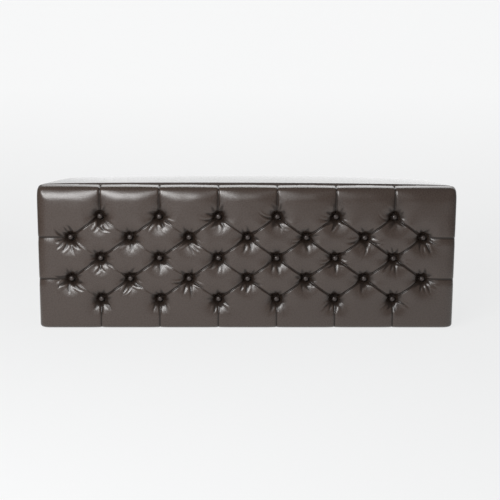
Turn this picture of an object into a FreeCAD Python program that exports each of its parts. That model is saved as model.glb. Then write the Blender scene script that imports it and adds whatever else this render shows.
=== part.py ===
import FreeCAD
import Part

import math
import os
from collections import namedtuple

from FreeCAD import Vector

# A storage bench: a boarded box with deep-buttoned leather on its front and ends, and a padded lid that
# turns up on three hinges and is held by two slotted stays. Millimetres, X along the length, front at -Y,
# origin on the floor under the middle.

# Overall size
LENGTH = 1270.0
DEPTH = 445.0
RIM_TOP = 442.0

# Layers and boards
LEATHER = 1.2
LINING = 1.0
DUST_CLOTH = 0.6
GLIDE_HEIGHT = 3.0
BOARD = 15.0
FLOOR_BOARD = 9.0
LID_BOARD = 12.0
BATTEN = 20.0
CROSS_BATTEN_WIDTH = 40.0
CROSS_BATTEN_AT = 200.0
CORNER_BLOCK = 60.0
TURN_UNDER = 14.0
SEAM_GAP = 0.4
LINING_DROP = 4.0

# Padding, measured from a board's outer face to the crest of the pillows
FRONT_PAD = 36.0
END_PAD = 26.0
BACK_PAD = 3.3
FRONT_FOAM = 8.0
END_FOAM = 5.0
EDGE_ROLL = 12.0
ROLL_SETBACK = 5.0
RIM_OVER_BOARD = 27.0

# Buttoning: spacing, and depths below the crest
HALF_PITCH = 89.25
ROW_PITCH = 63.3
ROWS = 5
MIDDLE_ROW = 219.6
FRONT_TUFT = 26.0
END_TUFT = 20.0
PLEAT_SHARE = 0.42
EDGE_PLEAT_SHARE = 0.46
CREST_SHARE = 0.12

# Covered buttons on nails
BUTTON_RADIUS = 8.5
BUTTON_DOME = 4.0
BUTTON_EDGE = 1.0
BUTTON_BACK_GAP = 3.0
BUTTON_BACK_RISE = 9.4
BUTTON_NECK = 1.6
NAIL_RADIUS = 1.2
NAIL_IN_BOARD = 11.0
NAIL_POINT = 2.5
HOLE_CLEARANCE = 0.1

# Lid
LID_GAP = 3.0
LID_BACK_GAP = 1.0
LID_END_INSET = 5.0
LID_LIFT = 2.8
LID_EDGE = 26.5
LID_CROWN = 15.0
LID_END_DROP = 3.0
LID_ROLL = 9.0
LID_TURN_UNDER = 48.0
LID_LINING = 0.8
LID_LAYER_GAP = 1.0
BUMPER_RADIUS = 5.0
BUMPER_SPREAD = 380.0

# Glides under the box
GLIDE_RADIUS = 14.0
GLIDE_NAIL = 15.0
GLIDE_INSET = 18.0

# Hinges
HINGE_PLACES = (-430.0, 0.0, 430.0)
HINGE_LENGTH = 70.0
HINGE_LEAF = 28.0
LEAF = 1.8
LEAF_CORNER = 4.0
OUTER_SCREW_SHARE = 0.6
MIDDLE_SCREW_SHARE = 0.75
KNUCKLE_RADIUS = 3.5
KNUCKLES = 5
KNUCKLE_GAP = 0.3
PIN_RADIUS = 1.5
RUNNING_CLEARANCE = 0.05
PIN_HEAD = 2.4
PIN_HEAD_HEIGHT = 1.5
LID_OPEN = 95.0

# Stays: the rivet on the lid and the shoulder pin on the wall are equally far from the hinge axis, so the
# arm turns half as far as the lid
STAY_REACH = 150.0
STAY_RIVET_DROP = 14.0
STAY_SPREAD = 16.0
STAY_STEEL = 2.0
STAY_WIDTH = 14.0
STAY_PIN_RADIUS = 3.0
STAY_PIN_HEAD = 6.0
STAY_RIVET_RADIUS = 2.5
STAY_RIVET_HEAD = 5.0
STAY_HEAD_HEIGHT = 1.4
STAY_SIDE_GAP = 0.5
SLOT_CLEARANCE = 0.3
SLOT_SPARE = 0.4
PLATE_WIDTH = 26.0
PLATE_HEIGHT = 52.0
BRACKET_LENGTH = 44.0
BRACKET_FLANGE = 28.0
BRACKET_CORNER = 8.0
BRACKET_SCREW_SHARE = 0.6

# Screws
SCREW_RADIUS = 1.6
SCREW_HEAD = 3.2
SCREW_HEAD_HEIGHT = 1.5
WALL_SCREW = 17.0
LID_SCREW = 11.0

# How far a cutter runs past the face it opens, what a full-width fillet leaves flat, and how closely edges
# are told apart by place
PAST = 1.0
FLAT_LEFT = 1.0
NEAR = 0.5

# Heights from the floor up
LEATHER_BOTTOM = GLIDE_HEIGHT + DUST_CLOTH
BOARD_BOTTOM = LEATHER_BOTTOM + LEATHER
BOARD_TOP = RIM_TOP - RIM_OVER_BOARD
FLOOR_BOTTOM = BOARD_BOTTOM + BATTEN
FLOOR_TOP = FLOOR_BOTTOM + FLOOR_BOARD
LINING_TOP = BOARD_TOP - LINING_DROP
LID_BOTTOM = BOARD_TOP + LEATHER + LID_LIFT
LID_BOARD_BOTTOM = LID_BOTTOM + LEATHER
LID_BOARD_TOP = LID_BOARD_BOTTOM + LID_BOARD

# Faces from the middle outwards
END_FACE = LENGTH / 2 - END_PAD
END_INSIDE = END_FACE - BOARD
FRONT_FACE = -DEPTH / 2 + FRONT_PAD
FRONT_INSIDE = FRONT_FACE + BOARD
AXIS_Y = DEPTH / 2 - KNUCKLE_RADIUS
AXIS_Z = LID_BOTTOM + KNUCKLE_RADIUS - LEAF
BACK_LEATHER = AXIS_Y - KNUCKLE_RADIUS
BACK_FACE = BACK_LEATHER - LEATHER - BACK_PAD
BACK_INSIDE = BACK_FACE - BOARD
END_WIDTH = BACK_LEATHER - FRONT_FACE
END_MIDDLE = (BACK_LEATHER + FRONT_FACE) / 2
END_FOAM_HALF = END_WIDTH / 2 - EDGE_ROLL

# Plan of the lid
LID_HALF = LENGTH / 2 - LID_END_INSET
LID_FRONT = FRONT_FACE + LID_GAP
LID_BACK = BACK_LEATHER - LID_BACK_GAP

# Stays, seen along X, and their layers from the right-hand wall inwards
RIVET_ANGLE = math.asin((AXIS_Z - LID_BOTTOM + STAY_RIVET_DROP) / STAY_REACH)
PIN_ANGLE = RIVET_ANGLE + math.radians(STAY_SPREAD)
RIVET_Y = AXIS_Y - STAY_REACH * math.cos(RIVET_ANGLE)
RIVET_Z = AXIS_Z - STAY_REACH * math.sin(RIVET_ANGLE)
PIN_Y = AXIS_Y - STAY_REACH * math.cos(PIN_ANGLE)
PIN_Z = AXIS_Z - STAY_REACH * math.sin(PIN_ANGLE)
SHUT_DISTANCE = 2 * STAY_REACH * math.sin(math.radians(STAY_SPREAD) / 2)
OPEN_DISTANCE = 2 * STAY_REACH * math.sin(math.radians(STAY_SPREAD + LID_OPEN) / 2)
PLATE_BACK = END_INSIDE - LINING
PLATE_FRONT = PLATE_BACK - STAY_STEEL
BRACKET_OUT = PLATE_FRONT - STAY_SIDE_GAP
BRACKET_IN = BRACKET_OUT - STAY_STEEL
ARM_OUT = BRACKET_IN - STAY_SIDE_GAP
ARM_IN = ARM_OUT - STAY_STEEL
HEAD_OUT = ARM_IN - STAY_SIDE_GAP

# A buttoned pad has its own frame: x across, y = 0 on the board's face with the crest at -thick, z up.
# Short rows of buttons are the first, third and fifth, long rows the others. Columns count half pitches.
# The front rises in front of the lid as a rim, and the ends stop at the board's top, under the lid.
Pad = namedtuple("Pad", "width top thick tuft foam short_row long_row")
FRONT = Pad(LENGTH, RIM_TOP, FRONT_PAD, FRONT_TUFT, FRONT_FOAM,
            (-5, -3, -1, 1, 3, 5), (-6, -4, -2, 0, 2, 4, 6))
END = Pad(END_WIDTH, BOARD_TOP + LEATHER, END_PAD, END_TUFT, END_FOAM, (0,), (-1, 1))

Screw = namedtuple("Screw", "head along length")


def save(name, shape):
    shape.exportStep(f"parts/{name}.step")


def box(x0, x1, y0, y1, z0, z1):
    return Part.makeBox(x1 - x0, y1 - y0, z1 - z0, Vector(x0, y0, z0))


def rod(start, along, radius):
    return Part.makeCylinder(radius, along.Length, start, along)


def turned(shape, angle, place):
    shape = shape.copy()
    shape.rotate(Vector(), Vector(0, 0, 1), angle)
    shape.translate(place)
    return shape


def on_front(shape):
    return turned(shape, 0, Vector(0, FRONT_FACE, 0))


def on_right_end(shape):
    return turned(shape, 90, Vector(END_FACE, END_MIDDLE, 0))


def mirrored(shape):
    return shape.mirror(Vector(), Vector(1, 0, 0))


def save_pair(name, right_shape):
    """Saves a right-hand piece and its left-hand twin."""
    save(f"right_{name}", right_shape)
    save(f"left_{name}", mirrored(right_shape))


def screw_shape(screw, extra=0.0):
    """A countersunk screw with the flat of its head at screw.head, or with extra the hole that clears it."""
    head = SCREW_HEAD + extra
    cone = Part.makeCone(head, SCREW_RADIUS + extra, SCREW_HEAD_HEIGHT, screw.head, screw.along)
    return cone.fuse(rod(screw.head, screw.along * (screw.length + extra), SCREW_RADIUS + extra))


def screw_holes(screws):
    return [screw_shape(s, HOLE_CLEARANCE) for s in screws]


# Buttoned cushions

def row_height(row):
    return MIDDLE_ROW + (row - (ROWS - 1) / 2) * ROW_PITCH


def columns(pad, row):
    return pad.long_row if row % 2 else pad.short_row


def button_point(pad, column, row):
    return Vector(column * HALF_PITCH, pad.tuft - pad.thick, row_height(row))


def button_points(pad):
    return [button_point(pad, c, r) for r in range(ROWS) for c in columns(pad, r)]


def bowed(pad, start, end, share):
    """Middle pole of the curve from start to end, which half way lies share of the tuft below the crest."""
    middle = (start + end) / 2
    height = share * pad.tuft - pad.thick
    return Vector(middle.x, 2 * height - middle.y, middle.z)


def pillow(corners, edges, crown):
    """One leather pillow: a patch with four corners in turn, a pole for each edge and one for its crown."""
    a, b, c, d = corners
    ab, bc, cd, da = edges
    surface = Part.BezierSurface()
    surface.increase(2, 2)
    for i, row in enumerate(((a, ab, b), (da, crown, bc), (d, cd, c)), 1):
        for j, pole in enumerate(row, 1):
            surface.setPole(i, j, pole)
    return surface.toShape()


def diamond(pad, column, row):
    """The pillow between four buttons, with its middle at the crest."""
    corners = [button_point(pad, column - 1, row), button_point(pad, column, row + 1),
               button_point(pad, column + 1, row), button_point(pad, column, row - 1)]
    edges = [bowed(pad, corners[i], corners[(i + 1) % 4], PLEAT_SHARE) for i in range(4)]
    crown = (corners[0] + corners[2]) / 2
    crown.y = -4 * pad.thick - corners[0].y - 2 * edges[0].y
    return pillow(corners, edges, crown)


def edge_pillow(pad, inner, outer, shares):
    """Half a pillow between two neighbouring buttons and the edge roll, from a pleat to the crest beside it.
    shares holds the depths of those two lines half way to the roll."""
    corners = [inner[0], outer[0], outer[1], inner[1]]
    edges = [bowed(pad, inner[0], outer[0], shares[0]), (outer[0] + outer[1]) / 2,
             bowed(pad, outer[1], inner[1], shares[1]), bowed(pad, inner[1], inner[0], PLEAT_SHARE)]
    crown = (edges[0] + edges[2]) / 2
    crown.y = min(edges[0].y, edges[2].y)
    return pillow(corners, edges, crown)


def corner_pillow(pad, button, side, corner, end):
    """The plain pillow between an outer button and a corner of the panel."""
    corners = [button, end, corner, side]
    edges = [bowed(pad, button, end, CREST_SHARE), (end + corner) / 2,
             (corner + side) / 2, bowed(pad, side, button, EDGE_PLEAT_SHARE)]
    crown = (edges[0] + edges[2]) / 2
    crown.y = edges[0].y
    return pillow(corners, edges, crown)


def field_limits(pad):
    half = pad.width / 2 - EDGE_ROLL
    return -half, half, LEATHER_BOTTOM + EDGE_ROLL, pad.top - EDGE_ROLL


def edge_share(pad, column, row):
    return EDGE_PLEAT_SHARE if column in columns(pad, row) else CREST_SHARE


def middle_pillows(pad):
    faces = []
    for row in range(1, ROWS - 1):
        held = columns(pad, row)
        faces += [diamond(pad, left + 1, row) for left, right in zip(held, held[1:])]
    return faces


def upper_and_lower_pillows(pad):
    """The half pillows between the zigzag of the outer two rows and the top or bottom roll."""
    left, right, low, high = field_limits(pad)
    roll = ROLL_SETBACK - pad.thick
    faces = []
    for outer_row, next_row, edge in ((ROWS - 1, ROWS - 2, high), (0, 1, low)):
        for first in range(pad.long_row[0], pad.long_row[-1]):
            pair = (first, first + 1)
            inner = [button_point(pad, c, outer_row if c in pad.short_row else next_row) for c in pair]
            outer = [Vector(p.x, roll, edge) for p in inner]
            faces.append(edge_pillow(pad, inner, outer, [edge_share(pad, c, outer_row) for c in pair]))
    return faces


def side_pillows(pad):
    """The half pillows at the two sides, and the four corners."""
    left, right, low, high = field_limits(pad)
    roll = ROLL_SETBACK - pad.thick
    faces = []
    for end, edge in ((0, left), (-1, right)):
        outermost = pad.long_row[end]
        for lower_row in range(1, ROWS - 2):
            pair = (lower_row, lower_row + 1)
            inner = [button_point(pad, columns(pad, r)[end], r) for r in pair]
            outer = [Vector(edge, roll, p.z) for p in inner]
            faces.append(edge_pillow(pad, inner, outer, [edge_share(pad, outermost, r) for r in pair]))
        for row, limit in ((1, low), (ROWS - 2, high)):
            button = button_point(pad, outermost, row)
            faces.append(corner_pillow(pad, button, Vector(edge, roll, button.z),
                                       Vector(edge, roll, limit), Vector(button.x, roll, limit)))
    return faces


def buttoned_block(pad):
    """Every pillow, closed to a solid by walls along the edge roll and a flat back on the board's plane."""
    left, right, low, high = field_limits(pad)
    roll = ROLL_SETBACK - pad.thick
    across = [left] + [c * HALF_PITCH for c in range(pad.long_row[0], pad.long_row[-1] + 1)] + [right]
    upward = [low] + [row_height(r) for r in range(1, ROWS - 1)] + [high]
    outlines = [[Vector(left, 0, low), Vector(right, 0, low), Vector(right, 0, high), Vector(left, 0, high)]]
    for z in (low, high):
        outlines.append([Vector(x, roll, z) for x in across] + [Vector(right, 0, z), Vector(left, 0, z)])
    for x in (left, right):
        outlines.append([Vector(x, roll, z) for z in upward] + [Vector(x, 0, high), Vector(x, 0, low)])
    walls = [Part.Face(Part.makePolygon(points + points[:1])) for points in outlines]
    block = Part.makeCompound(middle_pillows(pad) + upper_and_lower_pillows(pad) + side_pillows(pad) + walls)
    block.sewShape()
    return Part.makeSolid(block.Shells[0])


def nail_holes(pad):
    along = Vector(0, pad.thick + NAIL_IN_BOARD, 0)
    return [rod(p - Vector(0, BUTTON_BACK_GAP, 0), along, NAIL_RADIUS + HOLE_CLEARANCE)
            for p in button_points(pad)]


def foam_slab(pad, half):
    return box(-half, half, -pad.foam, 0, BOARD_BOTTOM, BOARD_TOP).cut(nail_holes(pad))


def cushion(pad, foam_half, over_reach, under_reach):
    """Leather with its filling: the buttoned field in a rolled edge, a pocket for the foam behind it, and the
    leather turned over the top and the bottom of the board between the two ends of each reach."""
    half = pad.width / 2
    roll = ROLL_SETBACK - pad.thick
    frame = box(-half, half, roll, 0, LEATHER_BOTTOM, pad.top)
    front_edges = [e for e in frame.Edges if all(abs(v.Y - roll) < NEAR for v in e.Vertexes)]
    left, right, low, high = field_limits(pad)
    frame = frame.makeFillet(EDGE_ROLL, front_edges).cut(box(left, right, roll - PAST, PAST, low, high))
    body = frame.fuse(buttoned_block(pad))
    pocket = box(-foam_half, foam_half, -pad.foam, PAST, BOARD_BOTTOM, BOARD_TOP)
    body = body.cut([pocket] + nail_holes(pad))
    over = box(*over_reach, -LEATHER, BOARD, BOARD_TOP, BOARD_TOP + LEATHER)
    under = box(*under_reach, -LEATHER, TURN_UNDER, LEATHER_BOTTOM, BOARD_BOTTOM)
    return body.fuse([over, under]).removeSplitter()


def buttons(pad):
    """A covered button on each button point, with its nail in the board behind."""
    rim = BUTTON_BACK_GAP + BUTTON_BACK_RISE
    shoulder = rim + BUTTON_EDGE
    tip = pad.thick - pad.tuft + NAIL_IN_BOARD
    sphere = (BUTTON_RADIUS ** 2 + BUTTON_DOME ** 2) / (2 * BUTTON_DOME)
    half_way = math.asin(BUTTON_RADIUS / sphere) / 2
    dome_top = Vector(0, -shoulder - BUTTON_DOME, 0)
    dome_middle = dome_top + Vector(sphere * math.sin(half_way), sphere * (1 - math.cos(half_way)), 0)
    outline = [Vector(0, tip, 0), Vector(NAIL_RADIUS, tip - NAIL_POINT, 0),
               Vector(NAIL_RADIUS, -BUTTON_BACK_GAP, 0), Vector(BUTTON_NECK, -BUTTON_BACK_GAP, 0),
               Vector(BUTTON_RADIUS, -rim, 0), Vector(BUTTON_RADIUS, -shoulder, 0)]
    edges = [Part.makeLine(p, q) for p, q in zip(outline, outline[1:])]
    edges += [Part.Arc(outline[-1], dome_middle, dome_top).toShape(), Part.makeLine(dome_top, outline[0])]
    pattern = Part.Face(Part.Wire(edges)).revolve(Vector(), Vector(0, 1, 0), 360)
    return Part.makeCompound([turned(pattern, 0, p) for p in button_points(pad)])


def make_buttoned_sides():
    whole = (-END_FACE, END_FACE)
    save("front_cushion", on_front(cushion(FRONT, END_FACE, whole, whole)))
    save("front_foam", on_front(foam_slab(FRONT, END_FACE)))
    save("front_buttons", on_front(buttons(FRONT)))

    over = (FRONT_INSIDE + SEAM_GAP - END_MIDDLE, BACK_INSIDE - SEAM_GAP - END_MIDDLE)
    turned_in = TURN_UNDER + SEAM_GAP
    under = (FRONT_FACE + turned_in - END_MIDDLE, BACK_FACE - turned_in - END_MIDDLE)
    right_cushion = on_right_end(cushion(END, END_FOAM_HALF, over, under))
    save_pair("end_cushion", right_cushion)
    save_pair("end_foam", on_right_end(foam_slab(END, END_FOAM_HALF)))
    save_pair("end_buttons", on_right_end(buttons(END)))


# Carcass

def glide_places():
    side = END_INSIDE - GLIDE_INSET
    front = FRONT_INSIDE + GLIDE_INSET
    back = BACK_INSIDE - GLIDE_INSET
    middle_front = FRONT_INSIDE + BATTEN / 2
    middle_back = BACK_INSIDE - BATTEN / 2
    corners = [Vector(x, y, 0) for y in (front, back) for x in (-side, side)]
    return corners + [Vector(0, middle_front, 0), Vector(0, middle_back, 0)]


def glide_holes():
    along = Vector(0, 0, GLIDE_HEIGHT + GLIDE_NAIL)
    return [rod(p, along, NAIL_RADIUS + HOLE_CLEARANCE) for p in glide_places()]


def make_walls():
    front = box(-END_FACE, END_FACE, FRONT_FACE, FRONT_INSIDE, BOARD_BOTTOM, BOARD_TOP)
    save("front_board", front.cut([on_front(h) for h in nail_holes(FRONT)]))
    back = box(-END_FACE, END_FACE, BACK_INSIDE, BACK_FACE, BOARD_BOTTOM, BOARD_TOP)
    save("back_board", back.cut(screw_holes(hinge_wall_screws())))
    end = box(END_INSIDE, END_FACE, FRONT_INSIDE, BACK_INSIDE, BOARD_BOTTOM, BOARD_TOP)
    end = end.cut([on_right_end(h) for h in nail_holes(END)] + screw_holes(stay_plate_screws()))
    save_pair("end_board", end)


def make_floor():
    holes = glide_holes()
    inner_end = END_INSIDE - CORNER_BLOCK
    floor = box(-END_INSIDE, END_INSIDE, FRONT_INSIDE, BACK_INSIDE, FLOOR_BOTTOM, FLOOR_TOP)
    save("floor_board", floor)
    front = box(-inner_end, inner_end, FRONT_INSIDE, FRONT_INSIDE + BATTEN, BOARD_BOTTOM, FLOOR_BOTTOM)
    save("front_floor_batten", front.cut(holes))
    rear = box(-inner_end, inner_end, BACK_INSIDE - BATTEN, BACK_INSIDE, BOARD_BOTTOM, FLOOR_BOTTOM)
    save("rear_floor_batten", rear.cut(holes))
    half = CROSS_BATTEN_WIDTH / 2
    save_pair("cross_batten", box(CROSS_BATTEN_AT - half, CROSS_BATTEN_AT + half, FRONT_INSIDE + BATTEN,
                                  BACK_INSIDE - BATTEN, BOARD_BOTTOM, FLOOR_BOTTOM))
    for place, wall, inward in (("front", FRONT_INSIDE, CORNER_BLOCK),
                                ("rear", BACK_INSIDE, -CORNER_BLOCK)):
        corner = [Vector(END_INSIDE, wall, BOARD_BOTTOM), Vector(inner_end, wall, BOARD_BOTTOM),
                  Vector(END_INSIDE, wall + inward, BOARD_BOTTOM)]
        block = Part.Face(Part.makePolygon(corner + corner[:1])).extrude(Vector(0, 0, BATTEN))
        save_pair(f"{place}_corner_block", block.cut(holes))


def make_underside():
    cloth = box(-END_FACE, END_FACE, FRONT_FACE + LEATHER, BACK_FACE, GLIDE_HEIGHT, LEATHER_BOTTOM)
    save("dust_cover", cloth.cut(glide_holes()))
    glides = []
    for place in glide_places():
        foot = rod(place, Vector(0, 0, GLIDE_HEIGHT), GLIDE_RADIUS)
        sole = [e for e in foot.Edges if e.BoundBox.ZMax < GLIDE_HEIGHT / 2]
        foot = foot.makeFillet(GLIDE_HEIGHT / 3, sole)
        nail = rod(place + Vector(0, 0, GLIDE_HEIGHT / 2), Vector(0, 0, GLIDE_NAIL), NAIL_RADIUS)
        glides.append(foot.fuse(nail))
    save("floor_glides", Part.makeCompound(glides))


def make_lining():
    outside = box(-END_INSIDE, END_INSIDE, FRONT_INSIDE, BACK_INSIDE, FLOOR_TOP, LINING_TOP)
    inside = box(LINING - END_INSIDE, END_INSIDE - LINING, FRONT_INSIDE + LINING, BACK_INSIDE - LINING,
                 FLOOR_TOP + LINING, LINING_TOP + PAST)
    plates = screw_holes(stay_plate_screws())
    save("storage_lining", outside.cut([inside] + plates + [mirrored(p) for p in plates]))


def make_back():
    holes = screw_holes(hinge_wall_screws())
    skin = box(-END_FACE, END_FACE, BACK_FACE, BACK_LEATHER, LEATHER_BOTTOM, BOARD_TOP + LEATHER)
    pocket = box(LEATHER - END_FACE, END_FACE - LEATHER, BACK_FACE - PAST, BACK_LEATHER - LEATHER,
                 BOARD_BOTTOM, BOARD_TOP)
    over = box(-END_FACE, END_FACE, BACK_INSIDE, BACK_FACE, BOARD_TOP, BOARD_TOP + LEATHER)
    under = box(-END_FACE, END_FACE, BACK_FACE - TURN_UNDER, BACK_FACE, LEATHER_BOTTOM, BOARD_BOTTOM)
    save("back_cover", skin.cut([pocket] + holes).fuse([over, under]).removeSplitter())
    edge = LEATHER + SEAM_GAP
    padding = box(edge - END_FACE, END_FACE - edge, BACK_FACE, BACK_LEATHER - LEATHER,
                  BOARD_BOTTOM, BOARD_TOP)
    save("back_padding", padding.cut(holes))


def make_bumpers():
    base = BOARD_TOP + LEATHER
    front = FRONT_INSIDE - BOARD / 2
    side = END_INSIDE + BOARD / 2
    places = [Vector(x, front, base) for x in (-BUMPER_SPREAD, 0, BUMPER_SPREAD)]
    places += [Vector(x, END_MIDDLE, base) for x in (-side, side)]
    rise = Vector(0, 0, LID_LIFT)
    save("lid_bumpers", Part.makeCompound([rod(p, rise, BUMPER_RADIUS) for p in places]))


# Hinges

def hinge_screw_offsets():
    third = HINGE_LENGTH / 3
    outer = OUTER_SCREW_SHARE * HINGE_LEAF
    return [(-third, outer), (0, MIDDLE_SCREW_SHARE * HINGE_LEAF), (third, outer)]


def hinge_wall_screws():
    outer = BACK_LEATHER + LEAF
    return [Screw(Vector(x + dx, outer, AXIS_Z - down), Vector(0, -1, 0), WALL_SCREW)
            for x in HINGE_PLACES for dx, down in hinge_screw_offsets()]


def hinge_lid_screws():
    lower = LID_BOTTOM - LEAF
    return [Screw(Vector(x + dx, AXIS_Y - inward, lower), Vector(0, 0, 1), LID_SCREW)
            for x in HINGE_PLACES for dx, inward in hinge_screw_offsets()]


def knuckle_spans(x, first):
    """The stretches of every second knuckle of the hinge at x, from the knuckle numbered first."""
    step = HINGE_LENGTH / KNUCKLES
    start = x - HINGE_LENGTH / 2
    return [(start + k * step, start + (k + 1) * step) for k in range(first, KNUCKLES, 2)]


def knuckle_rods(x, first, radius, trim):
    axis = Vector(0, AXIS_Y, AXIS_Z)
    return [rod(axis + Vector(a + trim, 0, 0), Vector(b - a - 2 * trim, 0, 0), radius)
            for a, b in knuckle_spans(x, first)]


def leaf_plate(x, lid_side):
    """A flat leaf with its two far corners rounded."""
    half = HINGE_LENGTH / 2
    if lid_side:
        plate = box(x - half, x + half, AXIS_Y - HINGE_LEAF, AXIS_Y, LID_BOTTOM - LEAF, LID_BOTTOM)
        far = [e for e in plate.Edges if e.BoundBox.YMax < AXIS_Y - LEAF and e.BoundBox.ZLength > LEAF / 2]
    else:
        plate = box(x - half, x + half, BACK_LEATHER, BACK_LEATHER + LEAF, AXIS_Z - HINGE_LEAF, AXIS_Z)
        far = [e for e in plate.Edges if e.BoundBox.ZMax < AXIS_Z - LEAF and e.BoundBox.YLength > LEAF / 2]
    return plate.makeFillet(LEAF_CORNER, far)


def knuckle_notches(x, other, lid_side):
    """The room that a leaf leaves for the other leaf's knuckles and for the plate they are rolled from."""
    front = BACK_LEATHER - KNUCKLE_GAP if lid_side else BACK_LEATHER - PAST
    low = LID_BOTTOM - LEAF - (PAST if lid_side else KNUCKLE_GAP)
    back = AXIS_Y + 2 * KNUCKLE_RADIUS
    high = AXIS_Z + 2 * KNUCKLE_RADIUS
    beside = KNUCKLE_GAP / 2
    return [box(a - beside, b + beside, front, back, low, high) for a, b in knuckle_spans(x, other)]


def hinge_leaf(x, lid_side, screws):
    own, other = (1, 0) if lid_side else (0, 1)
    leaf = leaf_plate(x, lid_side).fuse(knuckle_rods(x, own, KNUCKLE_RADIUS, KNUCKLE_GAP / 2))
    room = knuckle_notches(x, other, lid_side)
    bore = rod(Vector(x - HINGE_LENGTH, AXIS_Y, AXIS_Z), Vector(2 * HINGE_LENGTH, 0, 0),
               PIN_RADIUS + RUNNING_CLEARANCE)
    return leaf.cut(room + [bore] + screw_holes(screws)).removeSplitter()


def make_hinges():
    for name, x in zip(("left", "middle", "right"), HINGE_PLACES):
        save(f"{name}_hinge_wall_leaf", hinge_leaf(x, False, hinge_wall_screws()))
        save(f"{name}_hinge_lid_leaf", hinge_leaf(x, True, hinge_lid_screws()))
        start = Vector(x - HINGE_LENGTH / 2, AXIS_Y, AXIS_Z)
        along = Vector(HINGE_LENGTH, 0, 0)
        head = Vector(PIN_HEAD_HEIGHT, 0, 0)
        pin = rod(start, along, PIN_RADIUS).fuse([rod(start - head, head, PIN_HEAD),
                                                  rod(start + along, head, PIN_HEAD)])
        save(f"{name}_hinge_pin", pin.removeSplitter())
    save("hinge_wall_screws", Part.makeCompound([screw_shape(s) for s in hinge_wall_screws()]))
    save("hinge_lid_screws", Part.makeCompound([screw_shape(s) for s in hinge_lid_screws()]))


# Lid

def lid_section(x, inset, bottom, drop, crown):
    """Outline of the lid across the bench at x: flat below, rolled at both edges and crowned on top."""
    front = LID_FRONT + inset
    back = LID_BACK - inset
    edge = LID_BOTTOM + LID_EDGE - inset - drop
    roll = LID_ROLL - inset
    part_way = roll * (1 - math.sqrt(0.5))
    lower = [Vector(x, front, edge - roll), Vector(x, front, bottom),
             Vector(x, back, bottom), Vector(x, back, edge - roll)]
    back_end = Vector(x, back - roll, edge)
    front_end = Vector(x, front + roll, edge)
    edges = [Part.makeLine(p, q) for p, q in zip(lower, lower[1:])]
    edges.append(Part.Arc(lower[3], Vector(x, back - part_way, edge - part_way), back_end).toShape())
    edges.append(Part.Arc(back_end, Vector(x, (front + back) / 2, edge + crown), front_end).toShape())
    edges.append(Part.Arc(front_end, Vector(x, front + part_way, edge - part_way), lower[0]).toShape())
    return Part.Wire(edges)


def lid_block(inset, bottom):
    """The padded lid inside its own leather by inset: a loft through three sections, rolled at both ends."""
    half = LID_HALF - inset
    end = (inset, bottom, LID_END_DROP, LID_CROWN / 2)
    middle = lid_section(0, inset, bottom, 0, LID_CROWN)
    block = Part.makeLoft([lid_section(-half, *end), middle, lid_section(half, *end)], True)
    ends = [e for e in block.Edges if e.BoundBox.XLength < NEAR and e.BoundBox.ZMax > bottom + NEAR]
    return block.makeFillet(LID_ROLL - inset - FLAT_LEFT, ends)


def make_lid():
    hinge_holes = screw_holes(hinge_lid_screws())
    brackets = screw_holes(stay_bracket_screws())
    holes = hinge_holes + brackets + [mirrored(b) for b in brackets]
    underside = box(-LID_HALF, LID_HALF, LID_FRONT, LID_BACK, LID_BOTTOM, LID_BOARD_BOTTOM)
    window = box(LID_TURN_UNDER - LID_HALF, LID_HALF - LID_TURN_UNDER, LID_FRONT + LID_TURN_UNDER,
                 LID_BACK - LID_TURN_UNDER, LID_BOTTOM - PAST, LID_BOARD_BOTTOM + PAST)
    turned_under = underside.cut(window)
    cover = lid_block(0, LID_BOTTOM).cut(lid_block(LEATHER, LID_BOTTOM - PAST))
    save("lid_cover", cover.fuse(turned_under).removeSplitter().cut(holes))
    edge = LEATHER + SEAM_GAP
    board = box(edge - LID_HALF, LID_HALF - edge, LID_FRONT + edge, LID_BACK - edge,
                LID_BOARD_BOTTOM, LID_BOARD_TOP)
    board = board.makeFillet(LID_ROLL, [e for e in board.Edges if e.BoundBox.ZLength > LID_BOARD / 2])
    save("lid_board", board.cut(holes))
    save("lid_foam", lid_block(LEATHER + LID_LAYER_GAP, LID_BOARD_TOP))
    edge = LID_TURN_UNDER + SEAM_GAP
    cloth = box(edge - LID_HALF, LID_HALF - edge, LID_FRONT + edge, LID_BACK - edge,
                LID_BOARD_BOTTOM - LID_LINING, LID_BOARD_BOTTOM)
    save("lid_lining", cloth.cut(holes))


# Stays, drawn on the right and mirrored

def stay_plate_screws():
    reach = PLATE_HEIGHT / 2 - STAY_WIDTH / 2
    return [Screw(Vector(PLATE_FRONT, PIN_Y, PIN_Z + dz), Vector(1, 0, 0), LID_SCREW)
            for dz in (-reach, reach)]


def stay_bracket_screws():
    reach = BRACKET_LENGTH / 2 - BRACKET_CORNER
    x = BRACKET_OUT - BRACKET_SCREW_SHARE * BRACKET_FLANGE
    return [Screw(Vector(x, RIVET_Y + dy, LID_BOTTOM - STAY_STEEL), Vector(0, 0, 1), LID_SCREW)
            for dy in (-reach, reach)]


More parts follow.
